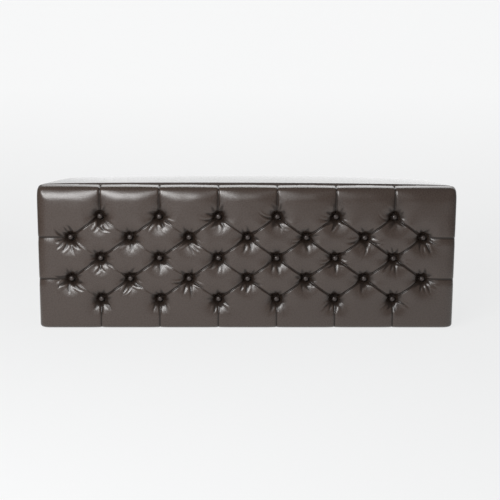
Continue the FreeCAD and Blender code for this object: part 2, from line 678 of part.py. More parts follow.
def make_stay_plates():
    half_width = PLATE_WIDTH / 2
    half_height = PLATE_HEIGHT / 2
    plate = box(PLATE_FRONT, PLATE_BACK, PIN_Y - half_width, PIN_Y + half_width,
                PIN_Z - half_height, PIN_Z + half_height)
    corners = [e for e in plate.Edges if e.BoundBox.XLength > STAY_STEEL / 2]
    plate = plate.makeFillet(half_width - FLAT_LEFT, corners)
    centre = Vector(0, PIN_Y, PIN_Z)
    inward = Vector(-1, 0, 0)
    hole = rod(centre + Vector(PLATE_BACK + PAST, 0, 0), inward * (STAY_STEEL + 2 * PAST),
               STAY_PIN_RADIUS + HOLE_CLEARANCE)
    save_pair("stay_plate", plate.cut([hole] + screw_holes(stay_plate_screws())))
    pin = rod(centre + Vector(PLATE_BACK, 0, 0), inward * (PLATE_BACK - HEAD_OUT), STAY_PIN_RADIUS)
    head = rod(centre + Vector(HEAD_OUT, 0, 0), inward * STAY_HEAD_HEIGHT, STAY_PIN_HEAD)
    save_pair("stay_pin", pin.fuse(head))


def make_stay_brackets():
    """An angle bracket under the lid, with the rivet that the arm turns on."""
    half = BRACKET_LENGTH / 2
    lower = LID_BOTTOM - STAY_STEEL
    wide = STAY_WIDTH / 2
    flange = box(BRACKET_OUT - BRACKET_FLANGE, BRACKET_OUT, RIVET_Y - half, RIVET_Y + half, lower, LID_BOTTOM)
    tongue = box(BRACKET_IN, BRACKET_OUT, RIVET_Y - wide, RIVET_Y + wide, RIVET_Z, lower)
    centre = Vector(0, RIVET_Y, RIVET_Z)
    inward = Vector(-1, 0, 0)
    eye = rod(centre + Vector(BRACKET_OUT, 0, 0), inward * STAY_STEEL, wide)
    hole = rod(centre + Vector(BRACKET_OUT + PAST, 0, 0), inward * (STAY_STEEL + 2 * PAST),
               STAY_RIVET_RADIUS + HOLE_CLEARANCE)
    upright = [e for e in flange.Edges if e.BoundBox.ZLength > STAY_STEEL / 2]
    corners = [e for e in upright if e.BoundBox.XMax < BRACKET_IN]
    bracket = flange.makeFillet(BRACKET_CORNER, corners).fuse([tongue, eye])
    save_pair("stay_bracket", bracket.removeSplitter().cut([hole] + screw_holes(stay_bracket_screws())))
    shank = rod(centre + Vector(BRACKET_OUT, 0, 0), inward * (BRACKET_OUT - HEAD_OUT), STAY_RIVET_RADIUS)
    head = rod(centre + Vector(HEAD_OUT, 0, 0), inward * STAY_HEAD_HEIGHT, STAY_RIVET_HEAD)
    save_pair("stay_rivet", shank.fuse(head))


def long_round_plate(start, end, radius):
    """A flat bar in the plane of the arm from start to end with round ends, both given along the arm."""
    steel = Vector(0, 0, STAY_STEEL)
    bar = box(start, end, -radius, radius, 0, STAY_STEEL)
    ends = [rod(Vector(s, 0, 0), steel, radius) for s in (start, end)]
    return bar.fuse(ends).removeSplitter()


def make_stay_arms():
    """Each arm is drawn along X from its rivet hole, then turned to point at the shoulder pin."""
    slot = long_round_plate(SHUT_DISTANCE - SLOT_SPARE, OPEN_DISTANCE + SLOT_SPARE,
                            STAY_PIN_RADIUS + SLOT_CLEARANCE)
    eye = rod(Vector(), Vector(0, 0, STAY_STEEL), STAY_RIVET_RADIUS + RUNNING_CLEARANCE)
    arm = long_round_plate(0, OPEN_DISTANCE + SLOT_SPARE, STAY_WIDTH / 2).cut([slot, eye])
    arm.rotate(Vector(), Vector(1, 0, 0), 90)
    arm.rotate(Vector(), Vector(0, 0, 1), 90)
    slope = math.degrees(math.atan2(PIN_Z - RIVET_Z, PIN_Y - RIVET_Y))
    arm.rotate(Vector(), Vector(1, 0, 0), slope)
    arm.translate(Vector(ARM_IN, RIVET_Y, RIVET_Z))
    save_pair("stay_arm", arm)


def make_stay_screws():
    for name, screws in (("stay_plate_screws", stay_plate_screws()),
                         ("stay_bracket_screws", stay_bracket_screws())):
        right = [screw_shape(s) for s in screws]
        save(name, Part.makeCompound(right + [mirrored(s) for s in right]))


os.makedirs("parts", exist_ok=True)
make_walls()
make_floor()
make_underside()
make_lining()
make_buttoned_sides()
make_back()
make_bumpers()
make_hinges()
make_lid()
make_stay_plates()
make_stay_brackets()
make_stay_arms()
make_stay_screws()
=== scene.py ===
import math
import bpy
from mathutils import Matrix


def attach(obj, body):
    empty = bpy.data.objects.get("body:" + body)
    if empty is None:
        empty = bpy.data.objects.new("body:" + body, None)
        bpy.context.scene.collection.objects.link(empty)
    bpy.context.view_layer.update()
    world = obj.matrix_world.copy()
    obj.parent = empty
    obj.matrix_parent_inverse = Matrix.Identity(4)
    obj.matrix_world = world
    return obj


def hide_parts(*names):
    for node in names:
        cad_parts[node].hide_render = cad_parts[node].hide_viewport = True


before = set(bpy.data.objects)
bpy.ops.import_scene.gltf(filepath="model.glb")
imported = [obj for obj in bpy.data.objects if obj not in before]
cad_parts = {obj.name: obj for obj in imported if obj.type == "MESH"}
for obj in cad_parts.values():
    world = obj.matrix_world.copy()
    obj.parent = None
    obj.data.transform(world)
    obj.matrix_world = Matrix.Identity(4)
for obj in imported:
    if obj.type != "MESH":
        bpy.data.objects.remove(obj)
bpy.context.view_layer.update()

from types import SimpleNamespace

import bpy
import numpy as np
from mathutils import Matrix, Vector


# Walls, floor, battens and corner blocks: sawn softwood and birch-faced board, glued into one box.
# The grain runs the long way of each piece, with growth bands, pores and a few darker streaks.

def new_material(name):
    material = bpy.data.materials.new(name)
    material.use_nodes = True
    return material, material.node_tree, material.node_tree.nodes["Principled BSDF"]


def feed(tree, node, inputs):
    """Sets a node's inputs to values, or links them to sockets."""
    for key, value in inputs.items():
        if isinstance(value, bpy.types.NodeSocket):
            tree.links.new(value, node.inputs[key])
        else:
            node.inputs[key].default_value = value


def add(tree, kind, inputs=(), **settings):
    """A shader node of that kind, with its settings and inputs."""
    made = tree.nodes.new("ShaderNode" + kind)
    for key, value in settings.items():
        setattr(made, key, value)
    feed(tree, made, dict(inputs))
    return made


def ramp(tree, value, stops):
    """Colours or greys along a value, given as (place, colour) stops."""
    made = add(tree, "ValToRGB", {"Fac": value})
    elements = made.color_ramp.elements
    while len(elements) < len(stops):
        elements.new(0.5)
    for element, (place, colour) in zip(elements, stops):
        element.position = place
        element.color = (*colour, 1) if hasattr(colour, "__len__") else (colour, colour, colour, 1)
    return made.outputs["Color"]


def mixed(tree, factor, first, second, blend="MIX"):
    return add(tree, "Mix", {0: factor, 6: first, 7: second}, data_type="RGBA", blend_type=blend).outputs[2]


def place(tree, scale=(1, 1, 1)):
    """Places on the piece itself, in metres, stretched by scale."""
    coordinates = add(tree, "TexCoord").outputs["Object"]
    return add(tree, "Mapping", {"Vector": coordinates, "Scale": scale}).outputs["Vector"]


def noise(tree, where, scale, detail, roughness=0.5, distortion=0.0):
    """Clouds of values from 0 to 1, about 1 / scale apart."""
    return add(tree, "TexNoise", {"Vector": where, "Scale": scale, "Detail": detail, "Roughness": roughness,
                                  "Distortion": distortion}).outputs["Fac"]


def bump(tree, shader, height, strength, distance):
    made = add(tree, "Bump", {"Height": height, "Strength": strength, "Distance": distance})
    tree.links.new(made.outputs["Normal"], shader.inputs["Normal"])


def wood_material(name, along):
    """Board with its grain along X (0), Y (1) or Z (2)."""
    material, tree, shader = new_material(name)
    squeeze, fibre = [14.0] * 3, [260.0] * 3
    squeeze[along], fibre[along] = 0.8, 9.0
    bands = noise(tree, place(tree, squeeze), 3.2, 5, 0.62, 0.6)
    pores = noise(tree, place(tree, fibre), 2.4, 3)
    tone = ramp(tree, bands, [(0.30, (0.40, 0.265, 0.15)), (0.52, (0.60, 0.44, 0.275)),
                              (0.72, (0.70, 0.55, 0.37))])
    dark = ramp(tree, pores, [(0.36, 0.62), (0.56, 1.0)])
    feed(tree, shader, {"Base Color": mixed(tree, 1.0, tone, dark, "MULTIPLY"),
                        "Roughness": ramp(tree, bands, [(0.3, 0.62), (0.7, 0.78)])})
    bump(tree, shader, pores, 0.5, 0.0004)
    return material


def paint(material, *names):
    for name in names:
        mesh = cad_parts[name].data
        mesh.materials.clear()
        mesh.materials.append(material)


paint(wood_material("board_wood_long", 0), "front_board", "back_board", "floor_board", "front_floor_batten",
      "rear_floor_batten", "lid_board")
paint(wood_material("board_wood_cross", 1), "left_end_board", "right_end_board", "left_cross_batten",
      "right_cross_batten")
paint(wood_material("corner_block_wood", 2), "left_front_corner_block", "right_front_corner_block",
      "left_rear_corner_block", "right_rear_corner_block")


# Floor glides: black moulded nail-in feet, three under the front and three under the back.
# Their soles are scuffed a little paler.

material, tree, shader = new_material("glide_plastic")
speckle = noise(tree, place(tree), 420.0, 3)
scuffs = noise(tree, place(tree, (1, 4, 1)), 60.0, 4)
tone = ramp(tree, scuffs, [(0.4, (0.022, 0.022, 0.024)), (0.75, (0.07, 0.07, 0.072))])
feed(tree, shader, {"Base Color": tone, "Roughness": ramp(tree, scuffs, [(0.35, 0.42), (0.7, 0.66)])})
bump(tree, shader, speckle, 0.3, 0.0002)
paint(material, "floor_glides")


# Buttoned leather on the front and both ends: one hide over fibre filling on each board, drawn to the board
# by covered buttons on nails. Its spare leather is folded into pleats from button to button and out to the
# edges. Lengths are in millimetres.

ROWS = 5
HALF_PITCH = 89.25
ROW_PITCH = 63.3
MIDDLE_ROW = 219.6
RIM_TOP = 440.8
LEATHER_BOTTOM = 3.6
END_TOP = 416.2
FRONT_FACE = -186.5
END_FACE = 609.0
END_MIDDLE = 14.5
CELLS = 28
FULL_TUFT = 26.0
TINY = 1e-9

front_pad = SimpleNamespace(half=635.0, low=LEATHER_BOTTOM, high=RIM_TOP, thick=36.0, tuft=FULL_TUFT,
                            short=(-5, -3, -1, 1, 3, 5), long=(-6, -4, -2, 0, 2, 4, 6),
                            side_roll=((60.0, 20.0), (20.0, 70.0)),
                            top_roll=((95.0, 22.0), (20.0, 48.0), (400.0, 2.4)), low_roll=((14.0, 90.0),),
                            inner_roll=1.5, seed=11)
end_pad = SimpleNamespace(half=201.0, low=LEATHER_BOTTOM, high=END_TOP, thick=26.0, tuft=20.0,
                          short=(0,), long=(-1, 1), side_roll=((12.0, 90.0),),
                          top_roll=((40.0, 20.0), (13.0, 70.0)), low_roll=((11.0, 90.0),),
                          inner_roll=1.0, seed=23)


def row_height(row):
    return MIDDLE_ROW + (row - ROWS // 2) * ROW_PITCH


def button_places(pad):
    """Every button as (across, up, column, row)."""
    return [(c * HALF_PITCH, row_height(r), c, r)
            for r in range(ROWS) for c in (pad.long if r % 2 else pad.short)]


def roll_length(roll):
    return sum(radius * math.radians(degrees) for radius, degrees in roll)


def along_roll(roll, length):
    """Reach past the flat, fall behind it and angle turned, at lengths along an edge that is rolled in
    (radius, degrees) arcs."""
    reach, fall, turned = np.zeros_like(length), np.zeros_like(length), np.zeros_like(length)
    angle = start = 0.0
    for radius, degrees in roll:
        span = math.radians(degrees)
        part = np.clip(length - start, 0, radius * span) / radius
        reach += radius * (np.sin(angle + part) - math.sin(angle))
        fall += radius * (math.cos(angle) - np.cos(angle + part))
        turned += part
        angle += span
        start += radius * span
    return reach, fall, turned


def roll_reach(roll):
    return float(along_roll(roll, np.array(roll_length(roll)))[0])


def divided(start, end, step):
    """Places from start to end, about step apart."""
    return np.linspace(start, end, max(2, round(abs(end - start) / step)) + 1)


def pad_lines(pad, cells):
    """Lines of the leather's grid, across and up, measured along the leather. Pleats run along the
    diagonals of its cells."""
    reach = pad.long[-1] * HALF_PITCH
    step = HALF_PITCH / cells
    outer = pad.half - roll_reach(pad.side_roll) + roll_length(pad.side_roll)
    core = np.arange(pad.long[0] * cells, pad.long[-1] * cells + 1) * step
    side = divided(reach, outer, step)[1:]
    across = np.concatenate([-side[::-1], core, side])
    rise = ROW_PITCH / cells
    lowest = pad.low + roll_reach(pad.low_roll) - roll_length(pad.low_roll)
    highest = pad.high - roll_reach(pad.top_roll) + roll_length(pad.top_roll)
    rows = row_height(0) + np.arange((ROWS - 1) * cells + 1) * rise
    upward = np.concatenate([divided(lowest, row_height(0), rise)[:-1], rows,
                             divided(row_height(ROWS - 1), highest, rise)[1:]])
    return across, upward


LOW_CORNER, TOP_CORNER = 3.0, 5.0


def rolled(pad, s, t):
    """Base surface of a pad before it is buttoned: points as (across, up, out), and the way out of the
    leather. Its rolled edges run together at the corners, more squarely the higher the corner's number."""
    side, low, top = pad.side_roll, pad.low_roll, pad.top_roll
    core_s = np.clip(s, roll_reach(side) - pad.half, pad.half - roll_reach(side))
    core_t = np.clip(t, pad.low + roll_reach(low), pad.high - roll_reach(top))
    past_s, past_t = s - core_s, t - core_t
    share_s = np.abs(past_s) / roll_length(side)
    share_t = np.abs(past_t) / np.where(past_t < 0, roll_length(low), roll_length(top))
    square = np.where(past_t < 0, LOW_CORNER, TOP_CORNER)
    both = (share_s ** square + share_t ** square) ** (1 / square) + TINY
    to_s, to_t = np.sign(past_s) * share_s / both, np.sign(past_t) * share_t / both
    share = np.clip(np.maximum(share_s, share_t), 0, 1)
    reach_s, fall_s, turn_s = along_roll(side, share * roll_length(side))
    lower, upper = along_roll(low, share * roll_length(low)), along_roll(top, share * roll_length(top))
    reach_t, fall_t, turn_t = (np.where(past_t < 0, *pair) for pair in zip(lower, upper))
    mix = to_s ** 2 / (to_s ** 2 + to_t ** 2 + TINY)
    points = np.stack([core_s + reach_s * to_s, core_t + reach_t * to_t,
                       pad.thick - mix * fall_s - (1 - mix) * fall_t], -1)
    turn = mix * turn_s + (1 - mix) * turn_t
    way = np.stack([np.sin(turn) * to_s, np.sin(turn) * to_t, np.cos(turn)], -1)
    return points, way / np.linalg.norm(way, axis=-1, keepdims=True)


PAST_TOP, PAST_BOTTOM, PAST_SIDE = 45.0, 20.0, 30.0


def pleats(pad):
    """Every pleat as (start, end, over_edge): button to button, then upright and level ones out over the
    edges."""
    found = []
    places = {(c, r): (a, b) for a, b, c, r in button_places(pad)}
    for (c, r), start in places.items():
        for step in (-1, 1):
            if (c + step, r + 1) in places:
                found.append((start, places[c + step, r + 1], False))
    for c in pad.short:
        a, b = places[c, ROWS - 1]
        found.append(((a, b), (a, pad.high + PAST_TOP), True))
        a, b = places[c, 0]
        found.append(((a, b), (a, pad.low - PAST_BOTTOM), True))
    for r in range(1, ROWS, 2):
        for c, way in ((pad.long[0], -1), (pad.long[-1], 1)):
            a, b = places[c, r]
            found.append(((a, b), (way * (pad.half + PAST_SIDE), b), True))
    return found


def slack(s, t, draw, size, count=14):
    """A gently uneven surface between about -1 and 1, made of waves about size long."""
    total = np.zeros_like(s)
    for k in range(count):
        angle, phase = draw.uniform(0, math.pi), draw.uniform(0, 2 * math.pi)
        length = size * draw.uniform(0.7, 1.8)
        total += np.sin((s * math.cos(angle) + t * math.sin(angle)) * 2 * math.pi / length + phase)
    return total / (1.6 * math.sqrt(count))


def eased(x):
    """0 below 0 and 1 above 1, with a soft start and end."""
    x = np.clip(x, 0, 1)
    return x * x * (3 - 2 * x)


SEAT_RADIUS = 9.0
HOLE_REACH = 27.0
HOLE_SHARE = 0.43
HOLE_RAGGED = 0.12
BOWL_REACH = 56.0
LOWER_BOWL = 14.0


def from_buttons(pad, s, t):
    """Depth of the leather drawn in round the buttons, an uneven steep hole in a bowl, and the distance to
    the nearest button."""
    draw = np.random.default_rng(pad.seed)
    depth, nearest = np.zeros_like(s), np.full_like(s, np.inf)
    for a, b, _, _ in button_places(pad):
        away = np.maximum(np.hypot(s - a, t - b), SEAT_RADIUS)
        nearest = np.minimum(nearest, np.hypot(s - a, t - b))
        turn = np.arctan2(t - b, s - a)
        uneven = sum(np.sin(waves * turn + draw.uniform(0, 2 * math.pi)) for waves in (2, 3, 5, 7))
        edge = HOLE_REACH * (1 + HOLE_RAGGED * uneven)
        far = np.minimum(away, edge)
        whole = np.log(edge / SEAT_RADIUS) - (1 - (SEAT_RADIUS / edge) ** 2) / 2
        rise = np.log(far / SEAT_RADIUS) - (far ** 2 - SEAT_RADIUS ** 2) / (2 * edge ** 2)
        reach = BOWL_REACH + LOWER_BOWL * (1 - (t - b) / away) / 2
        bowl = np.clip((reach - away) / (reach - SEAT_RADIUS), 0, 1) ** 2
        here = pad.tuft * (HOLE_SHARE * np.maximum(1 - rise / whole, 0) + (1 - HOLE_SHARE) * bowl)
        depth = (depth ** 3 + here ** 3) ** (1 / 3)
    return np.minimum(depth, pad.tuft), nearest


# Pleats where the leather is buttoned FULL_TUFT deep: depth of the soft valley and of the sharp crease, what
# both gain near a button, and width of the crease above and below the pleat, and of the line of painted shade
# along it.
SLANTED = SimpleNamespace(valley=1.2, valley_near=2.6, crease=4.4, crease_near=3.0, above=7.0, below=3.6,
                          line=6.0)
UPRIGHT = SimpleNamespace(valley=2.2, valley_near=3.0, crease=4.6, crease_near=2.0, above=3.8, below=3.8,
                          line=3.8)
LEVEL = SimpleNamespace(valley=0.6, valley_near=3.0, crease=2.0, crease_near=2.0, above=3.0, below=24.0,
                        line=6.0)
VALLEY_REACH = 34.0
TOP_VALLEY = SimpleNamespace(least=1.0, more=7.0, fades_at=45.0, fades_over=50.0, reach=70.0)
EDGE_FADE = SimpleNamespace(end=0.95, over=0.25, least=0.2)
FIRM_AT_MIDDLE, LEAST_FIRM = 0.75, 0.4


def from_pleats(pad, s, t):
    """Depth of the pleats' soft valleys and of their sharp creases, the painted shade along their lines, and
    the distance to the nearest pleat."""
    deep = pad.tuft / FULL_TUFT
    valley = crease = line = np.zeros_like(s)
    nearest = np.full_like(s, np.inf)
    for (a0, b0), (a1, b1), over_edge in pleats(pad):
        length = math.hypot(a1 - a0, b1 - b0)
        ua, ub = (a1 - a0) / length, (b1 - b0) / length
        along = np.clip((s - a0) * ua + (t - b0) * ub, 0, length)
        away = np.hypot(s - a0 - along * ua, t - b0 - along * ub)
        nearest = np.minimum(nearest, away)
        if over_edge:
            kind = LEVEL if abs(ua) > 0.5 else UPRIGHT
            near = (1 - along / length) ** 3
            fade = firm = np.clip((EDGE_FADE.end - along / length) / EDGE_FADE.over, EDGE_FADE.least, 1)
        else:
            kind, fade, firm = SLANTED, 1.0, 1.0
            near = np.abs(2 * along / length - 1) ** 3
            if ua < 0:
                firm = np.clip(FIRM_AT_MIDDLE + (a0 + a1) / 2 / pad.half, LEAST_FIRM, 1)
        soft, reach = (kind.valley + kind.valley_near * near) * fade, VALLEY_REACH
        sharp = (kind.crease + kind.crease_near * near) * firm
        if over_edge and ub > 0.5:
            run_out = eased((along - TOP_VALLEY.fades_at) / TOP_VALLEY.fades_over)
            soft, reach = TOP_VALLEY.least + TOP_VALLEY.more * (1 - run_out), TOP_VALLEY.reach
        wide = np.where(t - b0 - along * ub > 0, kind.above, kind.below)
        valley = np.maximum(valley, deep * soft * np.clip(1 - away / reach, 0, 1) ** 2)
        crease = np.maximum(crease, deep * sharp * np.clip(1 - away / wide, 0, 1) ** 1.5)
        # Painted shade along the pleat's line, full on the edge pleats and as strong as the crease on the
        # others.
        dark = 1.0 if over_edge else sharp / UPRIGHT.crease
        line = np.maximum(line, dark * np.clip(1 - away / kind.line, 0, 1))
    return valley, crease, line, nearest


def drawn_in(pad, s, t):
    """Broad form of the buttoned leather, as a depth below its crest."""
    funnel = from_buttons(pad, s, t)[0]
    valley = from_pleats(pad, s, t)[0]
    return np.minimum((funnel ** 3 + valley ** 3) ** (1 / 3), pad.tuft)


FAN_STRAY, FOLD_STRAY, FOLD_BEND = 10, 6, 0.008
FOLD_STARTS, LOWER_ENDS, UPPER_ENDS = (7, 12), (40, 66), (28, 48)
FOLD_WIDTHS, FOLD_HEIGHTS, ROUGHNESS = (3.0, 5.0), (0.6, 1.8), (0.35, 1.0)
LIP_HEIGHT, LIP_PLACE = 0.75, 1.9


def wrinkle_depth(pad, s, t):
    """Small folds that fan out from each button, most and longest below it, each a furrow between two lips.
    Negative values stand up."""
    draw = np.random.default_rng(pad.seed)
    total = np.zeros_like(s)
    for a, b, c, r in button_places(pad):
        rough = draw.uniform(*ROUGHNESS)
        fans = [(-90.0 + draw.normal(0, FAN_STRAY), 62.0, draw.integers(3, 6), 1.0, LOWER_ENDS),
                (90.0 + draw.normal(0, FAN_STRAY), 80.0, draw.integers(4, 6), 0.75, UPPER_ENDS)]
        if c in (pad.long[0], pad.long[-1]) and r % 2:
            fans.append((205.0 if c < 0 else -25.0, 40.0, draw.integers(3, 5), 1.0, LOWER_ENDS))
        for middle, spread, count, strength, ends in fans:
            for k in range(count):
                turned = middle + spread * ((k + 0.5) / count * 2 - 1) + draw.normal(0, FOLD_STRAY)
                start, end = draw.uniform(*FOLD_STARTS), draw.uniform(*ends)
                bend, width = draw.normal(0, FOLD_BEND), draw.uniform(*FOLD_WIDTHS)
                height = rough * strength * draw.uniform(*FOLD_HEIGHTS) * pad.tuft / FULL_TUFT
                away = np.hypot(s - a, t - b)
                turn = np.arctan2(t - b, s - a) - math.radians(turned) - bend * (away - start)
                turn = (turn + math.pi) % (2 * math.pi) - math.pi
                aside = away * np.sin(turn)
                here = (np.abs(turn) < 1.2) & (away < end)
                along = np.clip((away - start) / (end - start), 0, 1)
                swell = np.sin(np.pi * along ** 0.7) * here
                fold = np.exp(-np.abs(aside / width) ** 1.5)
                fold -= LIP_HEIGHT * np.exp(-((np.abs(aside) - LIP_PLACE * width) / width) ** 2)
                total += height * swell * fold
    return total


def spline(known, values, wanted):
    """Natural cubic spline along the first axis through values at known places, read at the wanted places."""
    gap = np.diff(known)
    slope = np.diff(values, axis=0) / gap[:, None, None]
    rows = np.eye(len(known))
    for k in range(1, len(known) - 1):
        rows[k, k - 1:k + 2] = gap[k - 1], 2 * (gap[k - 1] + gap[k]), gap[k]
    turn = np.zeros_like(values)
    turn[1:-1] = 6 * np.diff(slope, axis=0)
    bend = np.linalg.solve(rows, turn.reshape(len(known), -1)).reshape(values.shape)
    k = np.clip(np.searchsorted(known, wanted) - 1, 0, len(known) - 2)
    step = gap[k][:, None, None]
    after, before = (wanted - known[k])[:, None, None], (known[k + 1] - wanted)[:, None, None]
    return ((bend[k] * before ** 3 + bend[k + 1] * after ** 3) / (6 * step)
            + (values[k] / step - bend[k] * step / 6) * before
            + (values[k + 1] / step - bend[k + 1] * step / 6) * after)


PRESS_ROOM = 0.8
FLAT_FROM_EDGE, FLAT_FROM_PLEAT = 80.0, 45.0
UNEVEN, UNEVEN_SIZE, UNEVEN_FROM_EDGE = 0.6, 90.0, 50.0
PIN_SHARE = 0.9
COARSE = 14
PRESS_FRAMES = 20
MOST_MOVE = 5.0
STILL_TO, FREE_OVER = 10.0, 45.0


def settled(pad, across, upward):
    """Moves of the leather when its filling presses it out. A cloth held at the buttons, pleats and edges is
    simulated on a coarse grid that starts a little flat and uneven, and its moves are read on a finer one."""
    coarse_s, coarse_t = pad_lines(pad, COARSE)
    s, t = np.meshgrid(coarse_s, coarse_t, indexing="ij")
    base, way = rolled(pad, s, t)
    edge = np.minimum(np.minimum(s - coarse_s[0], coarse_s[-1] - s),
                      np.minimum(t - coarse_t[0], coarse_t[-1] - t))
    from_button = from_buttons(pad, s, t)[1]
    from_pleat = from_pleats(pad, s, t)[3]
    draw = np.random.default_rng(pad.seed)
    flat = PRESS_ROOM * eased(edge / FLAT_FROM_EDGE) * eased(from_pleat / FLAT_FROM_PLEAT)
    uneven = UNEVEN * slack(s, t, draw, UNEVEN_SIZE) * eased(edge / UNEVEN_FROM_EDGE)
    depth = drawn_in(pad, s, t)
    start = base - way * (depth + flat + uneven)[..., None]
    full = base - way * depth[..., None]
    mesh = bpy.data.meshes.new("pressed_leather")
    faces = grid_faces(len(coarse_s), len(coarse_t), pleat_slopes(pad, s, t))
    mesh.from_pydata((start * 0.001).reshape(-1, 3).tolist(), [], faces)
    piece = bpy.data.objects.new("pressed_leather", mesh)
    bpy.context.scene.collection.objects.link(piece)
    held = np.where((from_button < SEAT_RADIUS + 1) | (edge < TINY), 1.0,
                    np.where(from_pleat < 1.0, PIN_SHARE, 0.0))
    group = piece.vertex_groups.new(name="held")
    for weight in (PIN_SHARE, 1.0):
        group.add(np.nonzero(held.ravel() == weight)[0].tolist(), weight, "REPLACE")
    cloth = piece.modifiers.new("cloth", "CLOTH")
    cloth.settings.vertex_group_mass = "held"
    cloth.settings.mass = 0.4
    for strain in ("tension", "compression", "shear"):
        setattr(cloth.settings, strain + "_stiffness", 40)
        setattr(cloth.settings, strain + "_damping", 10)
    cloth.settings.bending_stiffness = 20
    cloth.settings.air_damping = 2
    cloth.settings.use_pressure = True
    cloth.settings.uniform_pressure_force = 3.5
    cloth.settings.effector_weights.gravity = 0
    cloth.collision_settings.use_collision = False
    cloth.point_cache.frame_start, cloth.point_cache.frame_end = 1, PRESS_FRAMES
    for step in range(1, PRESS_FRAMES + 1):
        bpy.context.scene.frame_set(step)
    pressed = piece.evaluated_get(bpy.context.evaluated_depsgraph_get()).data
    places = np.empty(len(pressed.vertices) * 3)
    pressed.vertices.foreach_get("co", places)
    moves = places.reshape(start.shape) * 1000 - full
    bpy.data.objects.remove(piece)
    bpy.data.meshes.remove(mesh)
    bpy.context.scene.frame_set(1)
    length = np.linalg.norm(moves, axis=-1, keepdims=True)
    free = eased((from_button - STILL_TO) / FREE_OVER)
    moves *= np.minimum(1, MOST_MOVE / (length + TINY)) * free[..., None]
    return spline(coarse_t, spline(coarse_s, moves, across).transpose(1, 0, 2), upward).transpose(1, 0, 2)


def grid_faces(columns, rows, slope):
    """Triangles of a grid, cut along its rising or falling diagonals as slope says, so that pleats stay
    crisp."""
    i, j = np.meshgrid(np.arange(columns - 1), np.arange(rows - 1), indexing="ij")
    a = (i * rows + j).ravel()
    b, c, d = a + rows, a + rows + 1, a + 1
    up = slope.ravel()
    first = np.where(up[:, None], np.stack([a, b, c], 1), np.stack([a, b, d], 1))
    second = np.where(up[:, None], np.stack([a, c, d], 1), np.stack([b, c, d], 1))
    return np.concatenate([first, second]).tolist()


def pleat_slopes(pad, s, t):
    """Which way each cell of the grid is cut, so that its cut lies along the pleat that crosses it."""
    column = np.floor((s[1:, 1:] + s[:-1, :-1]) / 2 / HALF_PITCH).astype(int)
    row = np.floor(((t[1:, 1:] + t[:-1, :-1]) / 2 - row_height(0)) / ROW_PITCH).astype(int)
    return (column + row + pad.short[0]) % 2 == 0


def rim_loop(columns, rows):
    """Indices round the grid's outline, counter-clockwise."""
    low = [i * rows for i in range(columns)]
    right = [(columns - 1) * rows + j for j in range(1, rows)]
    high = [i * rows + rows - 1 for i in range(columns - 2, -1, -1)]
    left = list(range(rows - 2, 0, -1))
    return low + right + high + left


def make_piece(name, points, faces, material, smooth=True):
    """A mesh object from points in millimetres."""
    mesh = bpy.data.meshes.new(name)
    mesh.from_pydata((np.asarray(points) * 0.001).tolist(), [], faces)
    mesh.update()
    mesh.materials.append(material)
    mesh.polygons.foreach_set("use_smooth", [smooth] * len(mesh.polygons))
    piece = bpy.data.objects.new(name, mesh)
    bpy.context.scene.collection.objects.link(piece)
    return piece


BACK_INSET = 34.0
NOTCH_LOSS = 0.75


def drawn_inward(pad, rim, inset):
    """A pad's outline, as (across, up), drawn in by inset on all sides."""
    centre = np.array([0, (pad.high + pad.low) / 2])
    size = np.array([pad.half, (pad.high - pad.low) / 2])
    return centre + (rim[:, :2] - centre) * (1 - inset / size)


def pad_walls(pad, rim, out, rim_s, rim_t):
    """Rings of points from a buttoned pad's outline back to the board, where its pleats run out, each with
    the depth of its notches."""
    levels = [(share, 0.0) for share in (0.25, 0.5, 0.75, 1.0)]
    levels += [(1.0, math.radians(d)) for d in (30, 60, 90)]
    for share, turn in levels + [(1.0, None)]:
        walk = (rim[:, 2] - pad.inner_roll) * share
        inset = BACK_INSET if turn is None else pad.inner_roll * (1 - math.cos(turn))
        height = 0.0 if turn is None else pad.inner_roll * (1 - math.sin(turn))
        level = rim[:, 2] - walk if turn == 0.0 else np.full(len(rim), height)
        fade = (1 - NOTCH_LOSS * share) if turn == 0.0 else 0.0
        valley, crease = from_pleats(pad, rim_s + out[:, 0] * walk, rim_t + out[:, 1] * walk)[:2]
        notch = (valley + crease) * fade
        flat = drawn_inward(pad, rim, inset) - out[:, :2] * notch[:, None]
        yield np.column_stack([flat, level]), notch


def ring_faces(near, far):
    """Faces between two rings of as many points."""
    count = len(near)
    return [[near[i], far[i], far[(i + 1) % count], near[(i + 1) % count]] for i in range(count)]


def carried_on(points, faces, loop, rings):
    """Joins further rings of points to a panel's outline, and closes the last one with a face."""
    points, near = [points], loop
    total = len(points[0])
    for ring in rings:
        far = list(range(total, total + len(loop)))
        faces += ring_faces(near, far)
        points.append(ring)
        total += len(loop)
        near = far
    faces.append(near[::-1])
    return np.concatenate(points)


CREST_START, CREST_ROOM = 2.0, 2.8
# Painted shade: how strongly the small folds' furrows are darkened and their raised lips lightened, and how
# dark the pleats' lines are painted.
DARK_FURROW, DARK_LIP, DARK_LINE = 8.0, 2.5, 0.6


